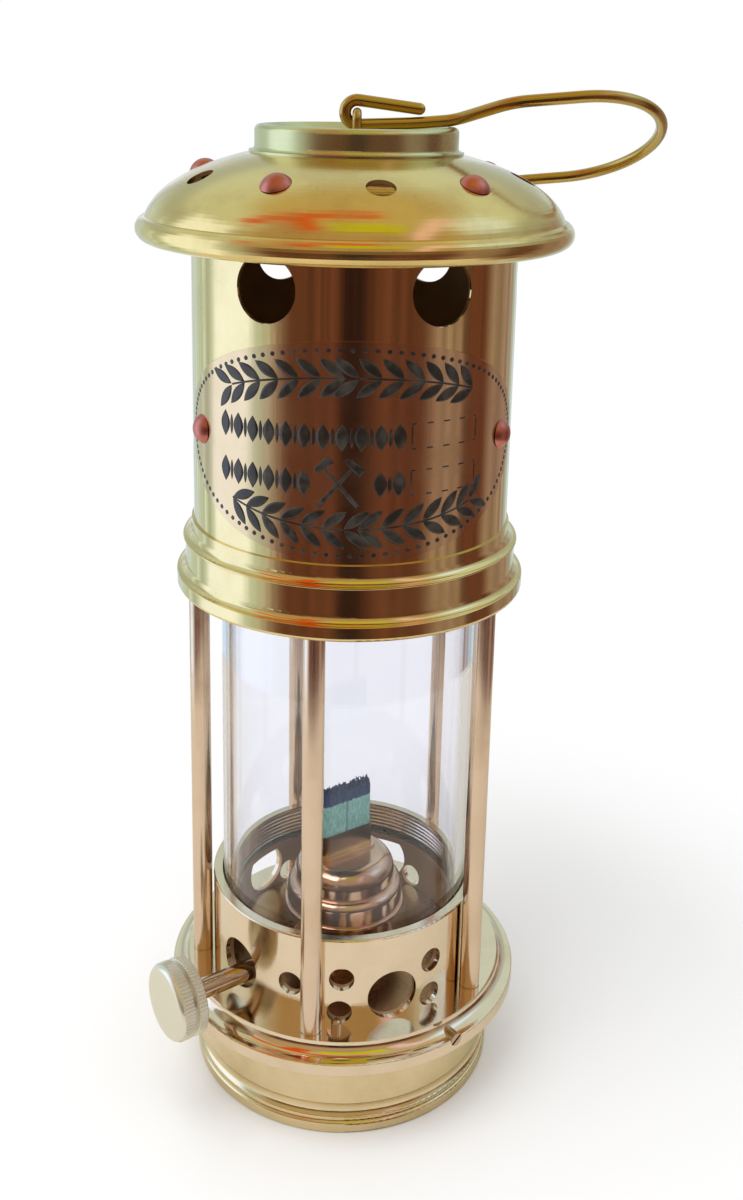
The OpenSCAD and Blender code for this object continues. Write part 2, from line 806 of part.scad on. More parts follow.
// The states along a list of steps: ["go", length], ["roll", angle] or ["bend", radius, angle]
function wire_path(w, steps, i = 0) =
  i == len(steps) ? [] :
  let (s = steps[i], parts = s[0] == "bend" ? ceil(abs(s[2]) / 9) : 1,
    run = s[0] == "go" ? [wire_go(w, s[1])] :
      s[0] == "roll" ? [wire_roll(w, s[1])] :
      [for (k = [1 : parts]) wire_bend(w, s[1], s[2] * k / parts)])
  concat(s[0] == "roll" ? [] : run, wire_path(run[len(run) - 1], steps, i + 1));

// A ring of points round a state of the wire, moved along it and drawn in for the round tips
function wire_ring(w, r, sides, shift = 0) =
  let (c = w[0] + w[1] * shift, q = cross(w[1], w[2]), reach = sqrt(max(r * r - shift * shift, 0)))
  [for (k = [0 : sides - 1])
    let (t = k * 360 / sides - w[3]) c + reach * (w[2] * cos(t) + q * sin(t))];

// A wire of a diameter along a list of steps from a first state, with a round tip at each end
module wire(start, steps, d, sides = 16) {
  path = concat([start], wire_path(start, steps));
  last = len(path) - 1;
  r = d / 2;
  tip = [25, 50, 80];
  rings = concat(
    [for (i = [2, 1, 0]) wire_ring(path[0], r, sides, -r * sin(tip[i]))],
    [for (w = path) wire_ring(w, r, sides)],
    [for (t = tip) wire_ring(path[last], r, sides, r * sin(t))]);
  points = [for (ring = rings) each ring];
  faces = concat(
    [[for (k = [0 : sides - 1]) k]],
    [for (i = [0 : len(rings) - 2], k = [0 : sides - 1])
      let (j = (k + 1) % sides, a = i * sides, b = a + sides)
      each [[a + k, b + k, b + j], [a + k, b + j, a + j]]],
    [[for (k = [sides - 1 : -1 : 0]) (len(rings) - 1) * sides + k]]);
  polyhedron(points, faces);
}

// Wire hook: a closing strand, the eye round the staple's bar, a cranked shank, the round hook
module hook() {
  strand = 13.2;
  close = [-cos(eye_close), 0, sin(eye_close)];
  close_side = [-sin(eye_close), 0, -cos(eye_close)];
  start = [[0, 0, pivot_z] - eye_r * close_side - strand * close, close, close_side, 0];
  color(brass)
    wire(start, [["go", strand], ["bend", eye_r, 180 + eye_close + shank_slope], ["go", 11.1],
      ["bend", 60, 3], ["roll", hook_roll], ["go", 4.3], ["bend", 10, 26.5], ["go", 7.8],
      ["bend", 15, -26.5], ["go", 11.3], ["bend", 19.9, -180], ["go", 13.5]], hook_wire_d);
}

// Body of the burner: floor with the tube's slot, wall with the shaft's bearings
module burner_body() {
  floor_t = 1.5;
  color(brass)
    difference() {
      rotate_extrude()
        difference() {
          union() {
            rim(burner_r + 1.6, ledge_z, floor_t, 0.3);
            block(burner_r, ledge_z, cap_z);
            block(spigot_r, tube_foot_z, ledge_z + eps);
          }
          block(burner_bore_r, ledge_z + floor_t, cap_z + 1);
        }
      at_wick() translate([0, 0, tube_foot_z - 1])
        linear_extrude(height = burner_h) flat_oval(tube_w, tube_t);
      on_shaft() translate([0, 0, -burner_r]) cylinder(d = shaft_d + 2 * shaft_play, h = burner_r);
      on_shaft() cylinder(d = sleeve_d, h = burner_r);
    }
}

// Outline of the burner cap, a distance inside its outside
module cap_outline(inset) {
  shoulder = cap_r - dome_r;
  top_round = 4;
  square([cap_r - inset, cap_wall_h]);
  translate([dome_r, cap_wall_h]) circle(shoulder - inset);
  square([dome_r, cap_wall_h + shoulder - inset]);
  square([dome_r - inset, cap_h - top_round]);
  translate([dome_r - top_round, cap_h - top_round]) circle(top_round - inset);
  square([dome_r - top_round, cap_h - inset]);
}

// Hollow cap of the burner with the tube's slot and a raised lip round it
module burner_cap() {
  color(brass)
    translate([0, 0, cap_z])
      difference() {
        union() {
          rotate_extrude()
            difference() {
              union() {
                intersection() {
                  cap_outline(0);
                  square([cap_r + 1, cap_h + 1]);
                }
                rim(cap_flange_d / 2, 0, cap_base_t, 0.3);
              }
              intersection() {
                cap_outline(cap_wall);
                translate([0, cap_base_t]) square([cap_r, cap_h]);
              }
              block(burner_bore_r, -1, cap_base_t + 1);
            }
          at_wick() translate([0, 0, cap_h - 0.5])
            linear_extrude(height = 1.1) flat_oval(tube_w + 2, tube_t + 2);
        }
        at_wick() linear_extrude(height = cap_h + 2)
          flat_oval(tube_w + 2 * fit_gap, tube_t + 2 * fit_gap);
      }
}

// Flat wick tube with two windows for the spur wheels
module wick_tube() {
  window_h = 2 * sqrt(pow(wheel_r, 2) - pow(shaft_off - tube_t / 2, 2)) + 0.8;
  color(brass)
    at_wick()
      difference() {
        translate([0, 0, tube_foot_z])
          linear_extrude(height = tube_top - tube_foot_z)
            difference() {
              flat_oval(tube_w, tube_t);
              flat_oval(tube_inner_w, tube_inner_t);
            }
        for (side = [-1, 1])
          translate([side * wheel_place, -tube_t / 2, shaft_axis_z])
            cube([wheel_w + 0.6, tube_inner_t, window_h], center = true);
      }
}

// Flat woven wick with a rounded, charred top
module wick() {
  half = wick_w / 2;
  corner = 2;
  color(teal)
    at_wick()
      intersection() {
        translate([0, 0, wick_foot_z])
          linear_extrude(height = wick_top - wick_foot_z) flat_oval(wick_w, wick_t);
        translate([0, wick_t, 0]) rotate([90, 0, 0])
          linear_extrude(height = 2 * wick_t) {
            translate([-half, 0]) square([wick_w, wick_top - char_h]);
            for (side = [-1, 1])
              translate([side * (half - corner), wick_top - corner]) circle(corner);
            translate([-half, 0]) square([wick_w, wick_top - corner]);
            translate([corner - half, 0]) square([wick_w - 2 * corner, wick_top]);
          }
      }
}

// Sleeve that guides the shaft from the burner out through the gallery's hole to the knob
module winder_sleeve() {
  color(brass)
    on_shaft()
      difference() {
        translate([0, 0, sleeve_start]) cylinder(d = sleeve_d, h = sleeve_end - sleeve_start);
        cylinder(d = shaft_d + 2 * shaft_play, h = knob_reach);
      }
}

// Shaft of the winder
module winder_shaft() {
  shaft_end = knob_reach - knob_face_t;
  color(brass)
    on_shaft() translate([0, 0, -shaft_tail]) cylinder(d = shaft_d, h = shaft_tail + shaft_end);
}

// One toothed wheel, flat on z = 0
module spur_wheel() {
  root_r = wheel_r - 0.9;
  foot_r = root_r - 0.4;
  linear_extrude(height = wheel_w)
    difference() {
      union() {
        circle(root_r);
        for (k = [0 : wheel_teeth - 1])
          rotate(k * 360 / wheel_teeth)
            polygon([[foot_r, -0.55], [wheel_r, -0.15], [wheel_r, 0.15], [foot_r, 0.55]]);
      }
      circle(d = shaft_d);
    }
}

// Pair of spur wheels that bite on the wick through the tube's windows
module spur_wheels() {
  color(brass)
    for (side = [-1, 1])
      on_shaft() translate([0, 0, side * wheel_place - wheel_w / 2]) spur_wheel();
}

// Knurled disc: a prism with fine teeth round its rim
module knurled(d, h) {
  depth = 0.4;
  points = [for (k = [0 : 2 * knurl_n - 1])
    let (r = d / 2 - (k % 2) * depth, a = k * 180 / knurl_n) [r * cos(a), r * sin(a)]];
  linear_extrude(height = h) polygon(points);
}

// Knurled brass knob in two discs, with a domed face
module winder_knob() {
  rear_z = knob_reach - knob_t;
  face_rise = 0.5;
  ball_r = (knob_d * knob_d / 4 + face_rise * face_rise) / (2 * face_rise);
  color(pale_brass)
    on_shaft()
      difference() {
        union() {
          translate([0, 0, rear_z]) knurled(knob_d, knob_rear_t);
          translate([0, 0, rear_z]) cylinder(d = knob_d - 3, h = knob_t - 1);
          translate([0, 0, rear_z + knob_rear_t + knob_groove_w])
            intersection() {
              knurled(knob_d, knob_front_t);
              translate([0, 0, knob_front_t - ball_r]) sphere(ball_r, $fn = 200);
            }
        }
        translate([0, 0, rear_z - 1]) cylinder(d = shaft_d, h = knob_t - knob_face_t + 1);
      }
}

// Small domed pin in the ledge of the ring
module lock_pin() {
  color(pale_brass)
    around(pin_angle, pin_circle_r, ledge_z) {
      translate([0, 0, -pin_l]) cylinder(d = pin_d, h = pin_l);
      cylinder(d = pin_head_d, h = pin_head_h - 0.8);
      translate([0, 0, pin_head_h - 0.8]) rivet_head(pin_head_d, 0.8);
    }
}

// Slotted grub screw in the band of the ring
module ring_grub_screw() {
  slot_turn = 35;
  color(pale_brass)
    around(screw_angle, screw_foot_r, ledge_z - screw_drop)
      rotate([90, 0, 0])
        difference() {
          cylinder(d = screw_d, h = screw_reach);
          translate([0, 0, screw_reach]) rotate([0, 0, slot_turn])
            cube([screw_d + 1, 0.6, 1.4], center = true);
        }
}

base_font();
font_top();
lower_ring();
gallery();
glass_seat_ring();
glass_gasket_lower();
glass();
glass_gasket_upper();
pillar(0);  // pillar_1
pillar(1);  // pillar_2
pillar(2);  // pillar_3
pillar(3);  // pillar_4
pillar(4);  // pillar_5
upper_ring();
bonnet_skirt();
bonnet_shell();
name_plate();
plate_rivets();
hood_brackets();
hood();
hood_rivets();
crown_cap();
hook_staple();
hook();
burner_body();
burner_cap();
wick_tube();
wick();
winder_sleeve();
winder_shaft();
spur_wheels();
winder_knob();
lock_pin();
ring_grub_screw();
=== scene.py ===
"""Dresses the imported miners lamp: the studio, the finishes of every CAD node and the fine pieces.

Lengths are in metres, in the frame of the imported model. The lamp's axis is Z, the plate faces -Y,
and angles go round from the front (-Y) towards +X."""

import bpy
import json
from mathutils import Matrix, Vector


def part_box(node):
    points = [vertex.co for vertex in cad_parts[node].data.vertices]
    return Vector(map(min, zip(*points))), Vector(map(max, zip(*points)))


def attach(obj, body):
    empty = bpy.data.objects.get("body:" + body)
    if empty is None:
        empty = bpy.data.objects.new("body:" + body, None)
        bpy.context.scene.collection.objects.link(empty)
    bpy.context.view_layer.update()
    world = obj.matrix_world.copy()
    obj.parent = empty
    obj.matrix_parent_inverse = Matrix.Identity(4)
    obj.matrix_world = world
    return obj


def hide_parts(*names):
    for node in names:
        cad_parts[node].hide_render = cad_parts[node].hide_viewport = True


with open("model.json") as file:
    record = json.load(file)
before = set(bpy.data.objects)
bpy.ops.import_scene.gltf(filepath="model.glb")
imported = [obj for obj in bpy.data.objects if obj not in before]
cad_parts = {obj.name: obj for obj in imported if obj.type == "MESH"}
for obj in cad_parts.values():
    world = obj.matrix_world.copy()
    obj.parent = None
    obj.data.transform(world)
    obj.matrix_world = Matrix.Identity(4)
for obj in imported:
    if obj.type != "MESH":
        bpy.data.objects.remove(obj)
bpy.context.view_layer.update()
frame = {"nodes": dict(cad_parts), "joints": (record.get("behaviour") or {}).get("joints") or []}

import json
import math

import bpy
import numpy as np
from bpy.props import FloatProperty, FloatVectorProperty, IntProperty, PointerProperty
from bpy.types import Operator, Panel, PropertyGroup
from mathutils import Matrix, Vector

bl_info = {
    "name": "Miners lamp",
    "version": (1, 0, 0),
    "blender": (4, 5, 0),
    "location": "View3D > Sidebar > Lamp",
    "description": "Dresses the packed miners lamp and sets up its studio",
    "category": "Object",
}

MM = 0.001

# The photograph's frame in pixels, its focal length and the point that the lens looks at
PHOTO_W = 743
PHOTO_H = 1200
PHOTO_FOCAL = 1353
PHOTO_CENTRE_Y = 420


def reach(name):
    """Greatest distance of a CAD node from the lamp's axis along X."""
    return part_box(name)[1].x


def length(name, text, default, low=0.0, high=1.0):
    """A property that holds a length."""
    return FloatProperty(
        name=name,
        description=text,
        default=default,
        min=low,
        max=high,
        precision=5,
        unit="LENGTH",
        subtype="DISTANCE",
    )


def colour(name, text, default):
    """A property that holds a linear colour."""
    return FloatVectorProperty(
        name=name, description=text, default=default, size=3, min=0.0, max=4.0, subtype="COLOR"
    )


def share(name, text, default, high=1.0):
    """A property that holds a plain factor."""
    return FloatProperty(name=name, description=text, default=default, min=0.0, max=high)


class StudioSettings(PropertyGroup):
    """Camera, floor, lamps and the room that the polished brass mirrors."""

    camera_back: length("Camera distance", "Distance of the camera in front of the lamp", 0.298656)
    camera_height: length("Camera height", "Height of the camera over the floor", 0.23684)
    camera_pitch: FloatProperty(
        name="Pitch",
        description="Angle of the camera below the horizon",
        default=math.radians(14.26),
        subtype="ANGLE",
        unit="ROTATION",
    )
    camera_roll: FloatProperty(
        name="Roll",
        description="Tilt of the camera about its own line of sight",
        default=math.radians(-1.17),
        subtype="ANGLE",
        unit="ROTATION",
    )
    camera_yaw: FloatProperty(
        name="Yaw",
        description="Turn of the camera to the left of the lamp",
        default=math.radians(-0.85),
        subtype="ANGLE",
        unit="ROTATION",
    )
    floor_radius: length("Floor radius", "Radius of the pale floor", 0.24)
    floor_fade: length("Floor fade", "Radius at which the floor begins to fade to white", 0.10)
    floor_colour: colour("Floor", "Colour of the floor", (0.93, 0.93, 0.93))
    key_power: FloatProperty(
        name="Key lamp", description="Power of the large soft lamp overhead", default=2.6, unit="POWER"
    )
    plain_light: share("Plain light", "Strength of the room on matt surfaces", 0.88, 4.0)
    window: colour("Window", "Bright window on the left", (1.15, 1.35, 1.80))
    sky: colour("Sky", "Brightest strip of the window", (1.7, 2.0, 3.0))
    pane: colour("Pane", "High window on the right", (0.88, 1.12, 1.60))
    wall: colour("Wall", "Pale wall beside the window", (0.66, 0.82, 0.86))
    back: colour("Back", "Pale backdrop behind the lamp", (0.82, 0.92, 1.10))
    room: colour("Room", "Warm dark room in front of the lamp", (0.15, 0.055, 0.035))
    nook: colour("Nook", "Darkest part of the room", (0.035, 0.013, 0.012))
    card: colour("Card", "Tan wall on the right", (0.37, 0.27, 0.24))
    shelf: colour("Shelf", "Walls at the height of the shelves", (0.48, 0.56, 0.54))
    cornice: colour("Cornice", "Walls over the shelves, at the sides and behind", (0.69, 0.80, 0.76))
    beam: colour("Beam", "Wall over the furniture in front", (0.50, 0.37, 0.19))
    ceiling: colour("Ceiling", "Warm ceiling", (0.60, 0.51, 0.27))
    shade: colour("Shade", "Orange lampshade overhead", (0.74, 0.10, 0.0))
    banner: colour("Banner", "Lime paper in front of the shade", (0.60, 0.64, 0.0))
    curtain: colour("Curtain", "Narrow rose curtain on the right", (0.98, 0.70, 0.85))


class FinishSettings(PropertyGroup):
    """Colours of the metals, the glass, the seals and the wick."""

    gold_brass: colour("Gold brass", "Spun hood and crown", (0.83, 0.64, 0.26))
    tube_brass: colour("Tube brass", "Bonnet's tube and skirt", (0.84, 0.68, 0.34))
    crown_brass: colour("Crown brass", "Turned crown", (0.64, 0.64, 0.34))
    wire_brass: colour("Wire brass", "Hook and staple", (0.56, 0.38, 0.10))
    light_brass: colour("Light brass", "Gallery and lower ring", (0.86, 0.73, 0.56))
    pillar_brass: colour("Pillar brass", "Pillars", (0.80, 0.63, 0.49))
    font_brass: colour("Font brass", "Oil font", (0.84, 0.73, 0.48))
    burner_brass: colour("Burner brass", "Burner, browned by heat", (0.80, 0.55, 0.40))
    # bright gold that paints a glint on the foot of the wick's tube
    spout_glint_brass: colour("Spout brass", "Foot of the wick's tube", (0.95, 0.78, 0.36))
    # browned: tarnish, and painted shade inside the gallery
    lid_brass: colour("Lid brass", "Lid of the font and the gallery's inside, browned", (0.40, 0.24, 0.12))
    plate_brass: colour("Plate brass", "Oval plate", (0.78, 0.58, 0.34))
    pale_brass: colour("Pale brass", "Winder's knob", (0.74, 0.77, 0.62))
    shaft_brass: colour("Shaft brass", "Winder's shaft and small fasteners", (0.58, 0.44, 0.32))
    copper: colour("Copper", "Rivets", (0.62, 0.22, 0.17))
    tarnish: colour("Tarnish", "Thin tarnish on the brass", (0.52, 0.36, 0.14))
    # soot, and painted shade inside the bonnet and under the hood
    soot_and_shade: colour("Soot", "Soot and heat tint inside the bonnet and the hood", (0.16, 0.075, 0.02))
    enamel: colour("Fill", "Dark fill of the engraved marks", (0.014, 0.011, 0.008))
    rubber: colour("Seals", "Rubber seals", (0.045, 0.045, 0.042))
    wick: colour("Wick", "Woven wick", (0.25, 0.62, 0.52))
    flecks: colour("Flecks", "Pale threads in the wick", (0.50, 0.80, 0.72))
    char: colour("Char", "Inked edge of the wick", (0.012, 0.045, 0.12))


class EngravingSettings(PropertyGroup):
    """Sizes of the dark-filled marks on the oval plate."""

    dots: IntProperty(name="Dots", description="Number of dots in the border", default=112, min=20, max=200)
    dot_size: length("Dot size", "Diameter of a border dot", 0.001)
    inset: length("Inset", "Distance of the dotted border inside the plate's edge", 0.0018)
    leaf_length: length("Leaf length", "Length of a leaf in the garlands", 0.0062)
    leaf_width: length("Leaf width", "Width of a leaf in the garlands", 0.0023)
    bead_height: length("Bead height", "Height of the beads in the two rows", 0.0056)
    bead_width: length("Bead width", "Width of the beads in the two rows", 0.0028)
    line: length("Line", "Width of the frames' lines", 0.00032)
    lift: length("Fill height", "Height of the fill over the plate", 0.00003)


class ThreadSettings(PropertyGroup):
    """Sizes of the screw thread inside the top of the gallery."""

    pitch: length("Pitch", "Distance between two turns of the thread", 0.001)
    depth: length("Depth", "Depth of the thread", 0.00027)
    height: length("Height", "Height of the threaded part", 0.0064)


class WickSettings(PropertyGroup):
    """Sizes of the woven wick and its frayed edge."""

    cords: IntProperty(name="Cords", description="Number of woven cords round the wick", default=38, min=10, max=80)
    relief: length("Relief", "Depth of the furrows between the cords", 0.00012)
    dark_edge: length("Dark edge", "Height of the inked edge", 0.0038)
    strand: length("Strand", "Greatest length of a frayed strand", 0.0012)
    strand_size: length("Strand size", "Diameter of a frayed strand", 0.0005)


class KnobSettings(PropertyGroup):
    """Sizes of the knurled knob."""

    knurls: IntProperty(name="Knurls", description="Number of knurls round the knob", default=66, min=20, max=120)
    knurl_depth: length("Knurl depth", "Depth of the knurl", 0.0004)
    front: length("Front disc", "Thickness of the front disc", 0.0043)
    groove: length("Groove", "Width of the groove between the discs", 0.0007)
    rear: length("Rear disc", "Thickness of the rear disc", 0.0024)
    rounding: length("Rounding", "Rounding from the knurl to the face", 0.0014)


class HookSettings(PropertyGroup):
    """Sizes of the wire hook, as bent in the CAD model."""

    wire: length("Wire", "Diameter of the wire", 0.0026)
    eye: length("Eye", "Radius of the eye on the middle of the wire", 0.0026)
    strand: length("Strand", "Length of the short strand that closes the eye", 0.0132)
    loop: length("Loop", "Radius of the round end on the middle of the wire", 0.0199)
    roll: FloatProperty(
        name="Roll",
        description="Angle of the hook's plane from the vertical",
        default=math.radians(61),
        subtype="ANGLE",
        unit="ROTATION",
    )


# Node trees


class Sheet:
    """A node tree with short calls for the nodes that the finishes use."""

    def __init__(self, tree):
        self.tree = tree
        self.column = 0

    def add(self, kind, inputs=None, **settings):
        """A node with its settings. Inputs are numbers, colours or other nodes' outputs."""
        made = self.tree.nodes.new(kind)
        self.column += 1
        made.location = (220 * (self.column % 8), -260 * (self.column // 8))
        for name, value in settings.items():
            setattr(made, name, value)
        for key, value in (inputs or {}).items():
            self.put(made.inputs[key], value)
        return made

    def put(self, socket, value):
        """Links a socket to another node's output, or sets its number or colour."""
        if isinstance(value, bpy.types.NodeSocket):
            self.tree.links.new(value, socket)
        elif socket.type == "RGBA":
            socket.default_value = (*value, 1.0)
        else:
            socket.default_value = value

    def math(self, operation, *values, clamp=False):
        """One step of arithmetic."""
        made = self.add("ShaderNodeMath", dict(enumerate(values)), operation=operation)
        made.use_clamp = clamp
        return made.outputs[0]

    def range(self, value, low, high, to_low=0.0, to_high=1.0):
        """Smooth step of a value from one range to another."""
        inputs = {"Value": value, "From Min": low, "From Max": high, "To Min": to_low, "To Max": to_high}
        return self.add("ShaderNodeMapRange", inputs, interpolation_type="SMOOTHSTEP").outputs[0]

    def mix(self, factor, first, second, blend="MIX"):
        """Mix of two colours."""
        made = self.add("ShaderNodeMix", data_type="RGBA", blend_type=blend)
        for socket, value in zip((made.inputs[0], made.inputs[6], made.inputs[7]), (factor, first, second)):
            self.put(socket, value)
        return made.outputs[2]

    def noise(self, vector, scale, detail=2.0, roughness=0.5):
        """Fractal noise between 0 and 1."""
        inputs = {"Vector": vector, "Scale": scale, "Detail": detail, "Roughness": roughness}
        return self.add("ShaderNodeTexNoise", inputs).outputs["Fac"]

    def place(self):
        """X, Y and Z of the point on the lamp, in metres."""
        point = self.add("ShaderNodeTexCoord").outputs["Object"]
        parts = self.add("ShaderNodeSeparateXYZ", {0: point})
        return point, parts.outputs[0], parts.outputs[1], parts.outputs[2]


def new_group(name, inputs, outputs):
    """An empty shader node group with named sockets: inputs are (name, default) numbers."""
    group = bpy.data.node_groups.new(name, "ShaderNodeTree")
    for label, default in inputs:
        socket = group.interface.new_socket(name=label, in_out="INPUT", socket_type="NodeSocketFloat")
        socket.default_value = default
    for label in outputs:
        group.interface.new_socket(name=label, in_out="OUTPUT", socket_type="NodeSocketFloat")
    sheet = Sheet(group)
    return group, sheet, sheet.add("NodeGroupInput").outputs, sheet.add("NodeGroupOutput").inputs


def turned_lines_group():
    """Fine lines round the axis, as a lathe tool and the polishing wheel leave them."""
    group, sheet, given, result = new_group("Turned lines", [("Per metre", 4000.0)], ["Height"])
    _, x, y, z = sheet.place()
    squares = sheet.math("ADD", sheet.math("MULTIPLY", x, x), sheet.math("MULTIPLY", y, y))
    radius = sheet.math("SQRT", squares)
    across = sheet.add("ShaderNodeCombineXYZ", {0: radius, 1: z, 2: sheet.math("MULTIPLY", x, 0.02)})
    lines = sheet.noise(across.outputs[0], given["Per metre"], 3.0, 0.6)
    sheet.put(result["Height"], lines)
    return group


def drawn_streaks_group():
    """Long faint streaks up the lamp, as drawn rod and rolled sheet show them."""
    group, sheet, given, result = new_group("Drawn streaks", [("Per metre", 2500.0)], ["Height"])
    _, x, y, z = sheet.place()
    across = sheet.add("ShaderNodeCombineXYZ", {0: x, 1: y, 2: sheet.math("MULTIPLY", z, 0.03)})
    lines = sheet.noise(across.outputs[0], given["Per metre"], 2.0, 0.6)
    sheet.put(result["Height"], lines)
    return group


def handling_group():
    """Smudges where the lamp was handled, and small dark specks."""
    group, sheet, given, result = new_group(
        "Handling", [("Patch", 70.0), ("Speck", 1400.0)], ["Smudge", "Specks"]
    )
    point = sheet.place()[0]
    cloud = sheet.noise(point, given["Patch"], 4.0, 0.62)
    sheet.put(result["Smudge"], sheet.range(cloud, 0.38, 0.72))
    cells = sheet.add("ShaderNodeTexVoronoi", {"Vector": point, "Scale": given["Speck"]})
    near = sheet.range(cells.outputs["Distance"], 0.10, 0.16, 1.0, 0.0)
    rare = sheet.range(sheet.noise(point, given["Patch"], 2.0, 0.5), 0.56, 0.66)
    sheet.put(result["Specks"], sheet.math("MULTIPLY", near, rare))
    return group


def soot_and_shade_group():
    """Masks of the walls near the lamp's axis, 1 inside a radius and under a height: all of them,
    and only those that face down."""
    given = [("Radius", 0.035), ("Top", 1.0)]
    group, sheet, given, result = new_group("Inner wall", given, ["Inside", "Under side"])
    _, x, y, z = sheet.place()
    squares = sheet.math("ADD", sheet.math("MULTIPLY", x, x), sheet.math("MULTIPLY", y, y))
    near = sheet.math("LESS_THAN", sheet.math("SQRT", squares), given["Radius"])
    inside = sheet.math("MULTIPLY", near, sheet.math("LESS_THAN", z, given["Top"]))
    facing = sheet.add("ShaderNodeSeparateXYZ", {0: sheet.add("ShaderNodeNewGeometry").outputs["Normal"]})
    down = sheet.math("LESS_THAN", facing.outputs[2], 0.0)
    sheet.put(result["Inside"], inside)
    sheet.put(result["Under side"], sheet.math("MULTIPLY", inside, down))
    return group


def group_node(sheet, name, **inputs):
    """A placed node group with its own values."""
    made = sheet.add("ShaderNodeGroup", node_tree=bpy.data.node_groups[name])
    for label, value in inputs.items():
        made.inputs[label.replace("_", " ")].default_value = value
    return made.outputs


def new_material(name):
    """A material with an empty tree but its output and one Principled shader."""
    material = bpy.data.materials.new(name)
    material.use_nodes = True
    material.node_tree.nodes.clear()
    sheet = Sheet(material.node_tree)
    shader = sheet.add("ShaderNodeBsdfPrincipled")
    sheet.add("ShaderNodeOutputMaterial", {"Surface": shader.outputs[0]})
    return material, sheet, shader


def metal(name, base, tarnish, rough, lines="Turned lines", per_metre=4000.0, relief=0.02, stain=0.35):
    """A polished metal: its colour stained in patches, and fine lines in its relief.

    The colour is the base mixed with the tarnish by the smudges, the roughness rises with the
    smudges, and the lines are the height of a bump. Gives the material, its sheet and shader."""
    material, sheet, shader = new_material(name)
    marks = group_node(sheet, "Handling")
    height = group_node(sheet, lines, Per_metre=per_metre)["Height"]
    stained = sheet.mix(sheet.math("MULTIPLY", marks["Smudge"], stain), base, tarnish)
    specked = sheet.mix(sheet.math("MULTIPLY", marks["Specks"], 0.6), stained, [c * 0.3 for c in tarnish])
    streaked = sheet.mix(sheet.math("MULTIPLY", height, 0.14), specked, tarnish)
    sheet.put(shader.inputs["Base Color"], streaked)
    sheet.put(shader.inputs["Roughness"], sheet.range(marks["Smudge"], 0.0, 1.0, rough, rough + 0.07))
    shader.inputs["Metallic"].default_value = 1.0
    bump = sheet.add("ShaderNodeBump", {"Strength": 0.4, "Distance": relief * MM, "Height": height})
    sheet.put(shader.inputs["Normal"], bump.outputs[0])
    return material


def source(socket):
    """The output that feeds a socket."""
    return socket.links[0].from_socket


def principled(material):
    """A material's sheet and its Principled shader."""
    nodes = material.node_tree.nodes
    return Sheet(material.node_tree), next(n for n in nodes if n.type == "BSDF_PRINCIPLED")


def sooted_and_shaded(material, radius, soot_and_shade, top=1.0, which="Inside"):
    """Browns and dulls the walls that lie nearer to the axis than a radius, and under a height: soot, and painted
    shade in the hollows.
    """
    sheet, shader = principled(material)
    inside = group_node(sheet, "Inner wall", Radius=radius, Top=top)[which]
    cloud = sheet.noise(sheet.place()[0], 90.0, 3.0)
    brown = sheet.mix(cloud, soot_and_shade, [c * 2.2 for c in soot_and_shade])
    sheet.put(shader.inputs["Base Color"], sheet.mix(inside, source(shader.inputs["Base Color"]), brown))
    rough = sheet.add("ShaderNodeMix", {0: inside, 2: source(shader.inputs["Roughness"]), 3: 0.42})
    sheet.put(shader.inputs["Roughness"], rough.outputs[0])
    sheet.put(shader.inputs["Metallic"], sheet.math("SUBTRACT", 1.0, sheet.math("MULTIPLY", inside, 0.5)))
    return material


def heat_tinted(material, foot, top, tint):
    """Colours a metal towards a heat tint above a height, and leaves it bright under it: on the wick's tube that
    bright foot is a painted glint.
    """
    sheet, shader = principled(material)
    z = sheet.place()[3]
    cloud = sheet.math("MULTIPLY", sheet.noise(sheet.place()[0], 400.0, 3.0), 0.0012)
    heat = sheet.range(sheet.math("ADD", z, cloud), foot, top)
    sheet.put(shader.inputs["Base Color"], sheet.mix(heat, source(shader.inputs["Base Color"]), tint))
    return material


def shaded(material, dark):
    """Darkens a metal by the piece's own attribute "shade": painted shade, 1 in the knob's groove and less in its
    knurls' valleys.
    """
    sheet, shader = principled(material)
    painted_shade = sheet.add("ShaderNodeAttribute", attribute_name="shade").outputs["Fac"]
    # painted shade: dark brown mixed in by the attribute
    sheet.put(shader.inputs["Base Color"], sheet.mix(painted_shade, source(shader.inputs["Base Color"]), dark))
    rough = sheet.add("ShaderNodeMix", {0: painted_shade, 2: source(shader.inputs["Roughness"]), 3: 0.5})
    sheet.put(shader.inputs["Roughness"], rough.outputs[0])
    return material


def glass_material():
    """Clear glass with a trace of lavender."""
    material, sheet, shader = new_material("clear_glass")
    haze = sheet.noise(sheet.place()[0], 55.0, 3.0)
    sheet.put(shader.inputs["Base Color"], sheet.mix(haze, (0.930, 0.938, 1.0), (0.960, 0.966, 1.0)))
    sheet.put(shader.inputs["Roughness"], sheet.range(haze, 0.5, 0.9, 0.0, 0.02))
    shader.inputs["Transmission Weight"].default_value = 1.0
    shader.inputs["IOR"].default_value = 1.47
    return material


def rubber_material(base):
    """Matt rubber with a dusty bloom."""
    material, sheet, shader = new_material("gasket_rubber")
    marks = group_node(sheet, "Handling", Patch=300.0)
    dusty = [min(1.0, c * 2.2) for c in base]
    sheet.put(shader.inputs["Base Color"], sheet.mix(marks["Smudge"], base, dusty))
    sheet.put(shader.inputs["Roughness"], sheet.range(marks["Smudge"], 0.0, 1.0, 0.55, 0.75))
    return material


def enamel_material(base):
    """Glossy dark fill that is worn thin in places."""
    material, sheet, shader = new_material("engraved_fill")
    worn = group_node(sheet, "Handling", Patch=260.0)["Smudge"]
    sheet.put(shader.inputs["Base Color"], sheet.mix(worn, base, [c * 2.6 + 0.01 for c in base]))
    sheet.put(shader.inputs["Roughness"], sheet.range(worn, 0.0, 1.0, 0.28, 0.45))
    return material


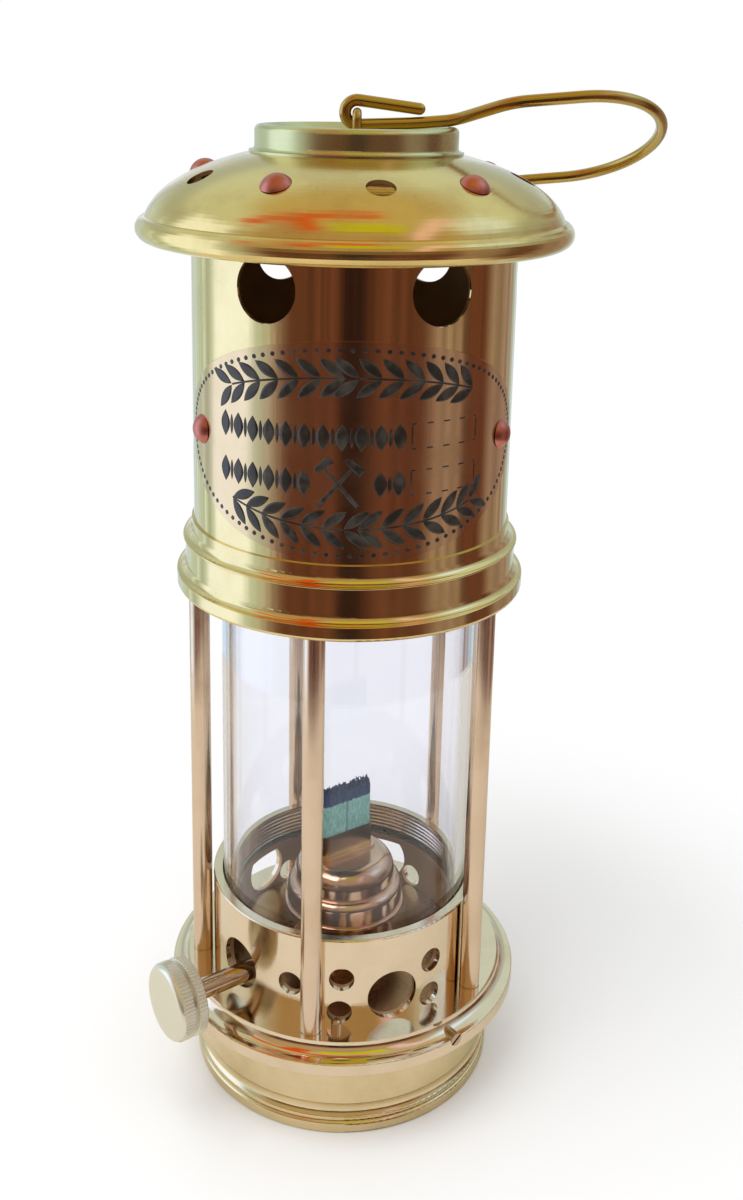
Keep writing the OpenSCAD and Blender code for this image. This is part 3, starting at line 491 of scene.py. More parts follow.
def wick_material(f, turn, top, dark_edge):
    """Woven cotton: flecked teal threads along Z, an inked edge whose border wanders, and one
    darker seam in the middle. X runs along the wick's width."""
    material, sheet, shader = new_material("woven_cotton")
    point = sheet.add("ShaderNodeTexCoord").outputs["Object"]
    turned = sheet.add("ShaderNodeMapping", {"Vector": point, "Rotation": (0.0, 0.0, -turn)}).outputs[0]
    across, _, z = sheet.add("ShaderNodeSeparateXYZ", {0: turned}).outputs
    long_way = sheet.add("ShaderNodeVectorMath", {0: turned, 1: (1.0, 1.0, 0.22)}, operation="MULTIPLY")
    fleck = sheet.range(sheet.noise(long_way.outputs[0], 2600.0, 3.0, 0.6), 0.42, 0.66)
    cloud = sheet.noise(turned, 420.0, 3.0)
    base = sheet.mix(fleck, list(f.wick), list(f.flecks))
    patched = sheet.mix(sheet.range(cloud, 0.40, 0.75, 0.0, 0.5), base, [c * 0.62 for c in f.wick])
    seam_place = sheet.math("ADD", across, sheet.math("MULTIPLY", cloud, 0.0006))
    seam = sheet.range(sheet.math("ABSOLUTE", seam_place), 0.00045, 0.00010)
    seamed = sheet.mix(sheet.math("MULTIPLY", seam, 0.65), patched, (0.09, 0.16, 0.17))
    wander = sheet.math("MULTIPLY", sheet.noise(turned, 900.0, 2.0), 0.0009)
    border = sheet.math("ADD", z, wander)
    inked = sheet.range(border, top - dark_edge - 0.0001, top - dark_edge + 0.0004)
    grey = sheet.mix(fleck, list(f.char), [c * 2.4 for c in f.char])
    sheet.put(shader.inputs["Base Color"], sheet.mix(inked, seamed, grey))
    sheet.put(shader.inputs["Roughness"], sheet.range(cloud, 0.2, 0.8, 0.85, 0.95))
    bump = sheet.add("ShaderNodeBump", {"Strength": 0.6, "Distance": 0.00012, "Height": fleck})
    sheet.put(shader.inputs["Normal"], bump.outputs[0])
    return material


FINISH_NODES = {
    "hood": ["hood"],
    "crown": ["crown_cap"],
    "lug": ["hood_brackets"],
    "staple": ["hook_staple", "hook"],
    "tube": ["bonnet_shell"],
    "skirt": ["bonnet_skirt", "upper_ring"],
    "light": ["lower_ring"],
    "gallery": ["gallery", "glass_seat_ring"],
    "pillar": ["pillar_1", "pillar_2", "pillar_3", "pillar_4", "pillar_5"],
    "font": ["base_font"],
    "lid": ["font_top"],
    "burner": ["burner_body", "burner_cap", "spur_wheels"],
    "spout": ["wick_tube"],
    "plate": ["name_plate"],
    "pale": ["winder_knob"],
    "shaft": ["winder_shaft", "winder_sleeve", "lock_pin", "ring_grub_screw"],
    "copper": ["plate_rivets", "hood_rivets"],
    "glass": ["glass"],
    "rubber": ["glass_gasket_lower", "glass_gasket_upper"],
    "wick": ["wick"],
}


def finish_materials(f):
    """Every finish by its short name."""
    tarnish = list(f.tarnish)
    soot_and_shade = list(f.soot_and_shade)
    streaks = {"lines": "Drawn streaks"}
    shell_inside = reach("bonnet_shell") - 0.0004
    gallery_inside = reach("gallery") - 0.0012
    hood = metal("hood_brass", f.gold_brass, tarnish, 0.16, per_metre=5000.0, stain=0.35)
    tube = metal("tube_brass", f.tube_brass, tarnish, 0.075, per_metre=700.0, relief=0.02, stain=0.2, **streaks)
    gallery = metal("gallery_brass", f.light_brass, tarnish, 0.07, stain=0.15)
    wick_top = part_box("wick")[1].z
    spout = metal("spout_glint_brass", f.spout_glint_brass, tarnish, 0.12, stain=0.1)
    spout_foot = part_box("burner_cap")[1].z + 0.0006
    knob = metal("pale_brass", f.pale_brass, (0.58, 0.58, 0.42), 0.22, per_metre=7000.0, stain=0.3)
    return {
        # hood: soot and painted shade on its under side
        "hood": sooted_and_shaded(hood, reach("hood") - 0.005, soot_and_shade, which="Under side"),
        "crown": metal("crown_brass", f.crown_brass, tarnish, 0.26, per_metre=5000.0, stain=0.25),
        "lug": metal("lug_brass", [c * 1.6 for c in soot_and_shade], soot_and_shade, 0.40, stain=0.8),
        "staple": metal("wire_brass", f.wire_brass, tarnish, 0.2, per_metre=900.0, relief=0.004, **streaks),
        # tube: soot and painted shade on its inside
        "tube": sooted_and_shaded(tube, shell_inside, soot_and_shade),
        "skirt": metal("skirt_brass", f.tube_brass, tarnish, 0.10, stain=0.2),
        "light": metal("ring_brass", f.light_brass, tarnish, 0.08, stain=0.2),
        # gallery: painted shade and tarnish on its inside under the glass's seat
        "gallery": sooted_and_shaded(gallery, gallery_inside, f.lid_brass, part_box("glass_seat_ring")[1].z),
        "thread": metal("thread_brass", f.light_brass, tarnish, 0.12, stain=0.1),
        "pillar": metal("pillar_brass", f.pillar_brass, tarnish, 0.17, per_metre=2500.0, stain=0.2, **streaks),
        "font": metal("font_brass", f.font_brass, tarnish, 0.10, stain=0.25),
        # lid: browned, tarnish and painted shade under the burner
        "lid": metal("lid_brass", f.lid_brass, (0.20, 0.10, 0.05), 0.26, stain=0.7),
        "burner": metal("burner_brass", f.burner_brass, (0.42, 0.24, 0.17), 0.14, stain=0.5),
        # heat tint above, and a painted glint of bright gold at the foot
        "spout": heat_tinted(spout, spout_foot, spout_foot + 0.0022, (0.34, 0.23, 0.17)),
        "plate": metal("plate_brass", f.plate_brass, tarnish, 0.12, per_metre=1200.0, stain=0.25, **streaks),
        # the knob, with painted shade in its groove and knurl valleys
        "pale": shaded(knob, (0.13, 0.055, 0.02)),
        "shaft": metal("shaft_brass", f.shaft_brass, (0.40, 0.28, 0.16), 0.14, stain=0.35),
        "copper": metal("copper", f.copper, (0.36, 0.10, 0.08), 0.34, stain=0.5),
        "glass": glass_material(),
        "rubber": rubber_material(list(f.rubber)),
        "fill": enamel_material(list(f.enamel)),
        "wick": wick_material(f, wick_turn(), wick_top, bpy.context.scene.lamp_wick.dark_edge),
    }


class LAMP_OT_finishes(Operator):
    """Give every CAD node its finish"""

    bl_idname = "lamp.finishes"
    bl_label = "Finishes"

    def execute(self, context):
        turned_lines_group()
        drawn_streaks_group()
        handling_group()
        soot_and_shade_group()
        made = finish_materials(context.scene.lamp_finish)
        for finish, names in FINISH_NODES.items():
            for name in names:
                materials = frame["nodes"][name].data.materials
                materials.clear()
                materials.append(made[finish])
        return {"FINISHED"}


def band(sheet, value, centre, half, soft):
    """Mask of the values that lie within a half width of a centre, with a soft edge."""
    off = sheet.math("ABSOLUTE", sheet.math("SUBTRACT", value, centre))
    return sheet.range(off, half + soft, half - soft)


def patch(sheet, *sides):
    """Mask of a soft-edged patch: the product of its bands, each (value, centre, half, soft)."""
    first, second = (band(sheet, *side) for side in sides)
    return sheet.math("MULTIPLY", first, second)


def direct_rays(sheet):
    """1 for rays that the camera sends straight or through glass, 0 for mirrored and matt ones;
    and 1 for rays that a polished surface has turned."""
    path = sheet.add("ShaderNodeLightPath")
    mirrored = sheet.math("MINIMUM", path.outputs["Glossy Depth"], 1.0)
    straight = sheet.math("MAXIMUM", path.outputs["Is Camera Ray"], path.outputs["Is Transmission Ray"])
    return sheet.math("MULTIPLY", straight, sheet.math("SUBTRACT", 1.0, mirrored)), mirrored


def studio_world(s):
    """The room: plain white to the camera and through glass, bands of window, wall and room in
    the polished metal, and one plain pale level on matt surfaces. Angles are in degrees."""
    world = bpy.data.worlds.new("studio")
    world.use_nodes = True
    world.node_tree.nodes.clear()
    sheet = Sheet(world.node_tree)
    bpy.context.scene.world = world
    ray = sheet.add("ShaderNodeSeparateXYZ", {0: sheet.add("ShaderNodeTexCoord").outputs["Generated"]})
    x, y, z = ray.outputs
    ahead = sheet.math("MULTIPLY", y, -1.0)
    turn = sheet.math("DEGREES", sheet.math("ARCTAN2", x, ahead))
    rise = sheet.math("DEGREES", sheet.math("ARCSINE", z))
    around = sheet.math("ADD", sheet.math("DIVIDE", turn, 360.0), 0.5)
    stops = [
        (-180, s.back), (-165, s.back), (-150, s.wall), (-115, s.wall), (-96, s.window), (-91, s.sky),
        (-85, s.window), (-68, s.wall), (-53, s.card), (-44, s.room), (-14, s.room), (-4, s.nook),
        (5, s.nook), (16, s.room), (48, s.room), (62, s.card), (76, s.card), (88, s.room),
        (104, s.room), (112, s.card), (138, s.card), (162, s.wall), (174, s.back),
    ]
    ramp = sheet.add("ShaderNodeValToRGB", {0: around})
    ramp.color_ramp.interpolation = "LINEAR"
    first, last = ramp.color_ramp.elements
    first.color = (*stops[0][1], 1.0)
    last.position = (stops[-1][0] + 180) / 360
    last.color = (*stops[-1][1], 1.0)
    for angle, tint in stops[1:-1]:
        ramp.color_ramp.elements.new((angle + 180) / 360).color = (*tint, 1.0)
    folds = sheet.noise(sheet.add("ShaderNodeCombineXYZ", {0: around}).outputs[0], 40.0, 4.0, 0.75)
    low = sheet.mix(1.0, ramp.outputs[0], sheet.range(folds, 0.32, 0.68, 0.55, 1.35), "MULTIPLY")
    side = sheet.range(sheet.math("ABSOLUTE", turn), 52.0, 82.0)
    sides = sheet.mix(sheet.range(rise, 26.0, 36.0), s.shelf, s.cornice)
    lifted = sheet.mix(sheet.range(rise, 8.0, 22.0), low, sheet.mix(side, s.beam, sides))
    room = sheet.mix(sheet.range(rise, 50.0, 66.0), lifted, s.ceiling)
    window = patch(sheet, (turn, -95.0, 19.0, 4.0), (rise, 0.0, 37.0, 4.0))
    room = sheet.mix(window, room, s.window)
    room = sheet.mix(patch(sheet, (turn, 92.0, 16.0, 10.0), (rise, 42.0, 10.0, 6.0)), room, s.pane)
    overhead = sheet.math("GREATER_THAN", z, 0.0)
    long_arm = patch(sheet, (x, -0.27, 0.42, 0.03), (ahead, 0.115, 0.085, 0.025))
    short_arm = patch(sheet, (x, -0.33, 0.08, 0.025), (ahead, 0.34, 0.25, 0.03))
    for shape, tint in (
        (patch(sheet, (x, 0.10, 0.27, 0.03), (ahead, 0.49, 0.13, 0.025)), s.banner),
        (patch(sheet, (x, 0.50, 0.07, 0.03), (ahead, 0.36, 0.33, 0.04)), s.curtain),
        (sheet.math("MAXIMUM", long_arm, short_arm), s.shade),
    ):
        room = sheet.mix(sheet.math("MULTIPLY", shape, overhead), room, tint)
    straight, mirrored = direct_rays(sheet)
    light = sheet.mix(straight, sheet.mix(mirrored, [s.plain_light] * 3, room), (1.0, 1.0, 1.0))
    background = sheet.add("ShaderNodeBackground", {"Color": light, "Strength": 1.0})
    sheet.add("ShaderNodeOutputWorld", {"Surface": background.outputs[0]})


def floor_material(s):
    """Pale paper whose edge fades to the white of the backdrop."""
    material = bpy.data.materials.new("floor_paper")
    material.use_nodes = True
    material.node_tree.nodes.clear()
    sheet = Sheet(material.node_tree)
    _, x, y, _ = sheet.place()
    squares = sheet.math("ADD", sheet.math("MULTIPLY", x, x), sheet.math("MULTIPLY", y, y))
    faded = sheet.range(sheet.math("SQRT", squares), s.floor_fade, s.floor_radius * 0.8)
    straight = direct_rays(sheet)[0]
    paper = sheet.add("ShaderNodeBsdfDiffuse", {"Color": list(s.floor_colour)})
    white = sheet.add("ShaderNodeEmission", {"Color": (1.0, 1.0, 1.0), "Strength": 1.0})
    both = sheet.add("ShaderNodeMixShader", {0: sheet.math("MULTIPLY", faded, straight)})
    sheet.put(both.inputs[1], paper.outputs[0])
    sheet.put(both.inputs[2], white.outputs[0])
    sheet.add("ShaderNodeOutputMaterial", {"Surface": both.outputs[0]})
    return material


def disc_floor(s):
    """The floor: a grid of rings and spokes, x = r sin a and y = -r cos a."""
    rings, spokes = 12, 96
    radii = np.linspace(0.0, s.floor_radius, rings)[1:]
    turns = np.linspace(0.0, 2 * np.pi, spokes, endpoint=False)
    r, a = np.meshgrid(radii, turns, indexing="ij")
    points = np.stack([r * np.sin(a), -r * np.cos(a), np.zeros_like(r)], -1).reshape(-1, 3)
    points = np.vstack([points, [[0.0, 0.0, 0.0]]])
    inner = np.stack([np.arange(spokes), np.roll(np.arange(spokes), -1)], -1)
    fan = [[len(points) - 1, *pair] for pair in inner.tolist()]
    mesh = bpy.data.meshes.new("floor")
    mesh.from_pydata(points.tolist(), [], fan + grid_faces(rings - 1, spokes, wrap_columns=True).tolist())
    floor = bpy.data.objects.new("floor", mesh)
    bpy.context.scene.collection.objects.link(floor)
    floor.data.materials.append(floor_material(s))


def grid_faces(rows, columns, wrap_rows=False, wrap_columns=False):
    """Four-sided faces of a grid of points numbered row by row, joined round where it wraps."""
    i = np.arange(rows if wrap_rows else rows - 1)[:, None]
    j = np.arange(columns if wrap_columns else columns - 1)[None, :]
    down, right = (i + 1) % rows, (j + 1) % columns
    corners = [i * columns + j, down * columns + j, down * columns + right, i * columns + right]
    return np.stack(np.broadcast_arrays(*corners), -1).reshape(-1, 4)


def soft_lamp(name, place, size, power):
    """A large square lamp that looks at the middle of the object."""
    data = bpy.data.lights.new(name, "AREA")
    data.shape = "SQUARE"
    data.size = size
    data.energy = power
    lamp = bpy.data.objects.new(name, data)
    lamp.location = place
    lamp.visible_glossy = False
    lamp.rotation_mode = "QUATERNION"
    lamp.rotation_quaternion = (Vector((0, 0, 0.1)) - Vector(place)).to_track_quat("-Z", "Y")
    bpy.context.scene.collection.objects.link(lamp)


def photo_camera(s):
    """The photograph's camera: its place, its line of sight, its roll and its frame."""
    across = Vector((math.cos(s.camera_yaw), math.sin(s.camera_yaw), 0))
    ahead = Vector((-math.sin(s.camera_yaw), math.cos(s.camera_yaw), 0))
    up = math.sin(s.camera_pitch) * ahead + math.cos(s.camera_pitch) * Vector((0, 0, 1))
    sight = math.cos(s.camera_pitch) * ahead - math.sin(s.camera_pitch) * Vector((0, 0, 1))
    right = math.cos(s.camera_roll) * across - math.sin(s.camera_roll) * up
    top = math.sin(s.camera_roll) * across + math.cos(s.camera_roll) * up
    data = bpy.data.cameras.new("camera")
    data.sensor_width = 36.0
    data.lens = PHOTO_FOCAL / PHOTO_H * data.sensor_width
    data.shift_y = (PHOTO_CENTRE_Y - PHOTO_H / 2) / PHOTO_H
    data.clip_start = 0.01
    camera = bpy.data.objects.new("camera", data)
    turn = Matrix((right, top, -sight)).transposed().to_4x4()
    camera.matrix_world = Matrix.Translation((0, -s.camera_back, s.camera_height)) @ turn
    bpy.context.scene.collection.objects.link(camera)
    bpy.context.scene.camera = camera


class LAMP_OT_stage(Operator):
    """Set up the floor, the room, the lamps and the camera"""

    bl_idname = "lamp.stage"
    bl_label = "Stage"

    def execute(self, context):
        s = context.scene.lamp_studio
        context.scene.view_settings.view_transform = "Standard"
        studio_world(s)
        disc_floor(s)
        soft_lamp("key_lamp", (-0.25, -0.25, 0.75), 0.5, s.key_power)
        photo_camera(s)
        return {"FINISHED"}


# Pieces


def add_piece(name, points, faces, body, material, replaces=()):
    """A smooth mesh piece from points in metres and its faces. It rides on a body of the lamp."""
    mesh = bpy.data.meshes.new(name)
    mesh.from_pydata(np.asarray(points).tolist(), [], faces)
    mesh.polygons.foreach_set("use_smooth", np.ones(len(mesh.polygons), dtype=bool))
    mesh.materials.append(bpy.data.materials[material])
    made = bpy.data.objects.new(name, mesh)
    bpy.context.scene.collection.objects.link(made)
    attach(made, body)
    if replaces:
        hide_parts(*replaces)
    return made


def joint(name):
    """Place and direction of a joint, as numpy arrays."""
    found = next(j for j in frame["joints"] if j["name"] == name)
    return np.array(found.get("pos_m", (0, 0, 0)), dtype=float), np.array(found["axis"], dtype=float)


def wick_turn():
    """Angle of the wick's width from the X axis: the winder's shaft runs along it."""
    axis = joint("winder_turn")[1]
    return math.atan2(-axis[1], -axis[0])


STROKE_SIDES = np.array([(-1, 0), (-1, 1), (-0.5, 1), (0, 1), (0.5, 1), (1, 1), (1, 0)], dtype=float)


def strokes(lines, halves):
    """Raised strokes on the flat plate: a section of seven points carried along middle lines.

    lines is (strokes, points, 2) in plate coordinates and halves the half widths. Each point of a
    section is the line's point plus its left normal times the half width times the section's
    side, and its height is 0 or 1. Both ends are closed by a face."""
    count, steps = halves.shape
    along = np.gradient(lines, axis=1)
    along /= np.linalg.norm(along, axis=2, keepdims=True)
    left = np.stack([-along[..., 1], along[..., 0]], -1)
    across = lines[:, :, None] + left[:, :, None] * (halves[..., None] * STROKE_SIDES[:, 0])[..., None]
    high = np.broadcast_to(STROKE_SIDES[:, 1], across.shape[:-1])
    points = np.concatenate([across, high[..., None]], -1).reshape(-1, 3)
    per = steps * len(STROKE_SIDES)
    starts = np.arange(count)[:, None, None] * per
    walls = (grid_faces(steps, len(STROKE_SIDES), wrap_columns=True)[None] + starts).reshape(-1, 4)
    ring = np.arange(len(STROKE_SIDES))
    first = (starts[:, 0] + ring).tolist()
    last = (starts[:, 0] + per - 1 - ring).tolist()
    return points, walls.tolist(), first + last


def joined(parts):
    """One set of points and faces from many."""
    points, faces, start = [], [], 0
    for part, walls, caps in parts:
        points.append(part)
        faces += [[corner + start for corner in face] for face in walls + caps]
        start += len(part)
    return np.vstack(points), faces


def spindle(centres, angles, size, width, steps=9, power=0.8):
    """Pointed strokes: straight lines of a length through centres, widest in the middle."""
    t = np.linspace(-0.5, 0.5, steps)
    way = np.stack([np.cos(angles), np.sin(angles)], -1)
    lines = centres[:, None] + way[:, None] * (t * size)[None, :, None]
    halves = width / 2 * np.maximum(np.cos(np.pi * t), 0.02) ** power
    return strokes(lines, np.broadcast_to(halves, (len(centres), steps)))


def bars(ends, width):
    """Straight strokes of one width. ends is (bars, 2, 2): both ends of each."""
    t = np.linspace(0.0, 1.0, 5)[None, :, None]
    lines = ends[:, None, 0] * (1 - t) + ends[:, None, 1] * t
    return strokes(lines, np.full(lines.shape[:2], width / 2))


def garland(e, half_w, half_h, first, last, leaves, side):
    """Leaves in pairs along an arc of an ellipse (half_w cos t, half_h sin t), and its stem."""
    t = np.radians(np.linspace(first, last, leaves))
    middle = np.stack([half_w * np.cos(t), half_h * np.sin(t)], -1)
    way = np.arctan2(half_h * np.cos(t), -half_w * np.sin(t))
    parts = []
    for lean in (-1, 1):
        angles = way + lean * side * math.radians(38)
        shift = 0.55 * e.leaf_length * np.stack([np.cos(angles), np.sin(angles)], -1)
        parts.append(spindle(middle + shift, angles, e.leaf_length, e.leaf_width))
    fine = np.radians(np.linspace(first, last, 60))
    line = np.stack([half_w * np.cos(fine), half_h * np.sin(fine)], -1)[None]
    parts.append(strokes(line, np.full((1, 60), 0.00022)))
    return parts


def crossed_hammers(size, middle):
    """Two hammers: tapered handles that cross at a middle, and a head across the top of each."""
    parts = []
    for side in (-1, 1):
        foot = np.array(middle) + np.array([-0.42 * side, -0.5]) * size
        top = np.array(middle) + np.array([0.34 * side, 0.40]) * size
        t = np.linspace(0, 1, 7)[:, None]
        parts.append(strokes((foot * (1 - t) + top * t)[None], np.linspace(0.055, 0.035, 7)[None] * size))
        way = (top - foot) / np.linalg.norm(top - foot)
        across = np.array([-way[1], way[0]]) * 0.24 * size
        head = np.stack([top - across, top + across])
        t = np.linspace(0, 1, 7)
        line = head[0] * (1 - t[:, None]) + head[1] * t[:, None]
        halves = np.array([0.10, 0.105, 0.095, 0.08, 0.085, 0.06, 0.02]) * size
        parts.append(strokes(line[None], halves[None]))
    return parts


def blank_frames(e, left, width, height, rows):
    """Empty frames of thin lines, one over the other."""
    parts = []
    for middle in rows:
        x0, x1 = left, left + width
        y0, y1 = middle - height / 2, middle + height / 2
        ends = np.array([[(x0, y0), (x1, y0)], [(x1, y0), (x1, y1)], [(x1, y1), (x0, y1)], [(x0, y1), (x0, y0)]])
        parts.append(bars(ends, e.line))
    return parts


def plate_marks(e, half_w, half_h):
    """All marks of the plate on the flat: dotted border, two garlands, hammers, frames, spindles."""
    turns = np.linspace(0, 2 * np.pi, e.dots, endpoint=False)
    border = np.stack([(half_w - e.inset) * np.cos(turns), (half_h - e.inset) * np.sin(turns)], -1)
    parts = [spindle(border, turns * 0, e.dot_size, e.dot_size, 7, 0.5)]
    arc_w, arc_h = half_w * 0.93, half_h * 0.68
    for upper in (1, -1):
        parts += garland(e, arc_w, arc_h, 50 * upper, 88 * upper, 7, upper)
        parts += garland(e, arc_w, arc_h, 130 * upper, 92 * upper, 7, -upper)
    upper_row, lower_row = 0.0036, -0.0062
    parts += crossed_hammers(0.0095, (-0.0026, lower_row))
    parts += blank_frames(e, 0.0124, 0.0160, 0.0052, (upper_row, lower_row))
    whole = np.arange(-0.0292, 0.0101, 0.0039)
    parts += bead_row(e, whole, upper_row)
    parts += bead_row(e, whole[:6], lower_row)
    parts += bead_row(e, whole[-2:], lower_row)
    return joined(parts)


def bead_row(e, places, height):
    """Pointed beads in a row at a height, with a short thin stroke between two of them."""
    centres = np.stack([places, np.full_like(places, height)], -1)
    upright = np.full(len(places), np.pi / 2)
    between = (centres[:-1] + centres[1:]) / 2
    return [
        spindle(centres, upright, e.bead_height, e.bead_width, 9, 1.0),
        spindle(between, upright[1:], e.bead_height * 0.75, e.bead_width * 0.3, 7, 0.5),
    ]


class LAMP_OT_engraving(Operator):
    """Fill the oval plate's border, garlands, hammers and blank frames"""

    bl_idname = "lamp.engraving"
    bl_label = "Plate engraving"

    def execute(self, context):
        e = context.scene.lamp_engraving
        low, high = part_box("name_plate")
        radius = -low.y
        shell = reach("bonnet_shell")
        half_w = shell * math.asin(high.x / radius)
        marks, faces = plate_marks(e, half_w, (high.z - low.z) / 2)
        turn = marks[:, 0] / shell
        r = radius - 0.00005 + marks[:, 2] * (e.lift + 0.00005)
        z = (low.z + high.z) / 2 + marks[:, 1]
        points = np.stack([r * np.sin(turn), -r * np.cos(turn), z], -1)
        add_piece("plate_engraving", points, faces, "bonnet", "engraved_fill")
        return {"FINISHED"}


class LAMP_OT_thread(Operator):
    """Cut the screw thread inside the top of the gallery"""

    bl_idname = "lamp.thread"
    bl_label = "Gallery thread"

    def execute(self, context):
        t = context.scene.lamp_thread
        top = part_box("gallery")[1].z - 0.0005
        bore = reach("glass") + 0.0003
        rows = int(t.height / t.pitch * 8)
        z, a = np.meshgrid(
            np.linspace(top - t.height, top, rows), np.linspace(0, 2 * np.pi, 192, endpoint=False), indexing="ij"
        )
        phase = (z / t.pitch - a / (2 * np.pi)) % 1.0
        fade = np.clip(np.minimum(z - z[0], top - z) / t.pitch, 0, 1)
        r = bore - t.depth * fade * (1 - np.abs(2 * phase - 1))
        r = np.vstack([r, np.full((2, r.shape[1]), bore + 0.00002)])
        z = np.vstack([z, z[-1:], z[:1]])
        a = np.vstack([a, a[:2]])
        points = np.stack([r * np.sin(a), -r * np.cos(a), z], -1).reshape(-1, 3)
        faces = grid_faces(*r.shape, wrap_rows=True, wrap_columns=True).tolist()
        add_piece("gallery_thread", points, faces, "lamp_body", "thread_brass")
        return {"FINISHED"}


def tube_along(places, sides_a, sides_b, radii, sides):
    """Tube: each ring is its place plus radius times (a cos t + b sin t). Both ends are closed."""
    t = np.linspace(0, 2 * np.pi, sides, endpoint=False)
    ring = sides_a[..., None, :] * np.cos(t)[:, None] + sides_b[..., None, :] * np.sin(t)[:, None]
    points = places[..., None, :] + ring * radii[..., None, None]
    walls = grid_faces(places.shape[-2], sides, wrap_columns=True)
    per = places.shape[-2] * sides
    caps = [list(range(sides))[::-1], list(range(per - sides, per))]
    return points, walls[:, ::-1], caps


def turned_about(axis, angle, way):
    """Directions turned about an axis: way cos a + (axis x way) sin a + axis (axis . way)(1 - cos a)."""
    return way * np.cos(angle) + np.cross(axis, way) * np.sin(angle) + axis * np.dot(axis, way) * (1 - np.cos(angle))


def wire_path(start, steps):
    """Places, directions and sides of a bent wire. A step is (length, 0, roll) for a straight run
    and (radius, angle, roll) for a bend, and the roll about the wire comes before it.

    Along a bend the place is start + r (side (1 - cos a) + way sin a). The sides that are kept turn
    with the bends alone, so that the wire isn't twisted."""
    place, way, side = start
    hold = side
    places, ways, holds = [place[None]], [way[None]], [hold[None]]
    for size, angle, roll in steps:
        side = turned_about(way, roll, side)
        axis = np.cross(way, side)
        a = np.linspace(0, angle, max(1, int(abs(math.degrees(angle)) / 4)) + 1)[1:, None]
        bend = side * (1 - np.cos(a)) + way * np.sin(a)
        path = place + (math.copysign(size, angle) * bend if angle else size * way[None])
        place = path[-1]
        places.append(path)
        ways.append(turned_about(axis, a, way))
        holds.append(turned_about(axis, a, hold))
        way, side, hold = (turned_about(axis, angle, v) for v in (way, side, hold))
    return np.vstack(places), np.vstack(ways), np.vstack(holds)


class LAMP_OT_hook(Operator):
    """Bend the wire hook: closing strand, eye, cranked shank and round end"""

    bl_idname = "lamp.hook"
    bl_label = "Wire hook"

    def execute(self, context):
        h = context.scene.lamp_hook
        pivot = joint("hook_swing")[0]
        tilt = math.radians(7)
        way = np.array([-math.cos(tilt), 0, math.sin(tilt)])
        side = np.array([-math.sin(tilt), 0, -math.cos(tilt)])
        start = pivot - h.eye * side - h.strand * way
        bend = math.radians
        steps = [
            (h.strand, 0, 0), (h.eye, bend(189.5), 0), (0.0111, 0, 0), (0.060, bend(3), 0),
            (0.0043, 0, h.roll), (0.010, bend(26.5), 0), (0.0078, 0, 0), (0.015, bend(-26.5), 0),
            (0.0113, 0, 0), (h.loop, bend(-180), 0), (0.0135, 0, 0),
        ]
        places, ways, holds = wire_path((start, way, side), steps)
        tip = np.radians([82, 62, 42, 21])
        before = places[0] - ways[0] * (h.wire / 2 * np.sin(tip))[:, None]
        after = places[-1] + ways[-1] * (h.wire / 2 * np.sin(tip[::-1]))[:, None]
        radii = np.concatenate([np.cos(tip), np.ones(len(places)), np.cos(tip[::-1])]) * h.wire / 2
        spread = [0] * 4 + list(range(len(places))) + [len(places) - 1] * 4
        places = np.vstack([before, places, after])
        holds, across = holds[spread], np.cross(ways, holds)[spread]
        points, walls, caps = tube_along(places, holds, across, radii, 20)
        faces = walls.tolist() + caps
        add_piece("hook_wire", points.reshape(-1, 3), faces, "hook", "wire_brass", ["hook"])
        return {"FINISHED"}


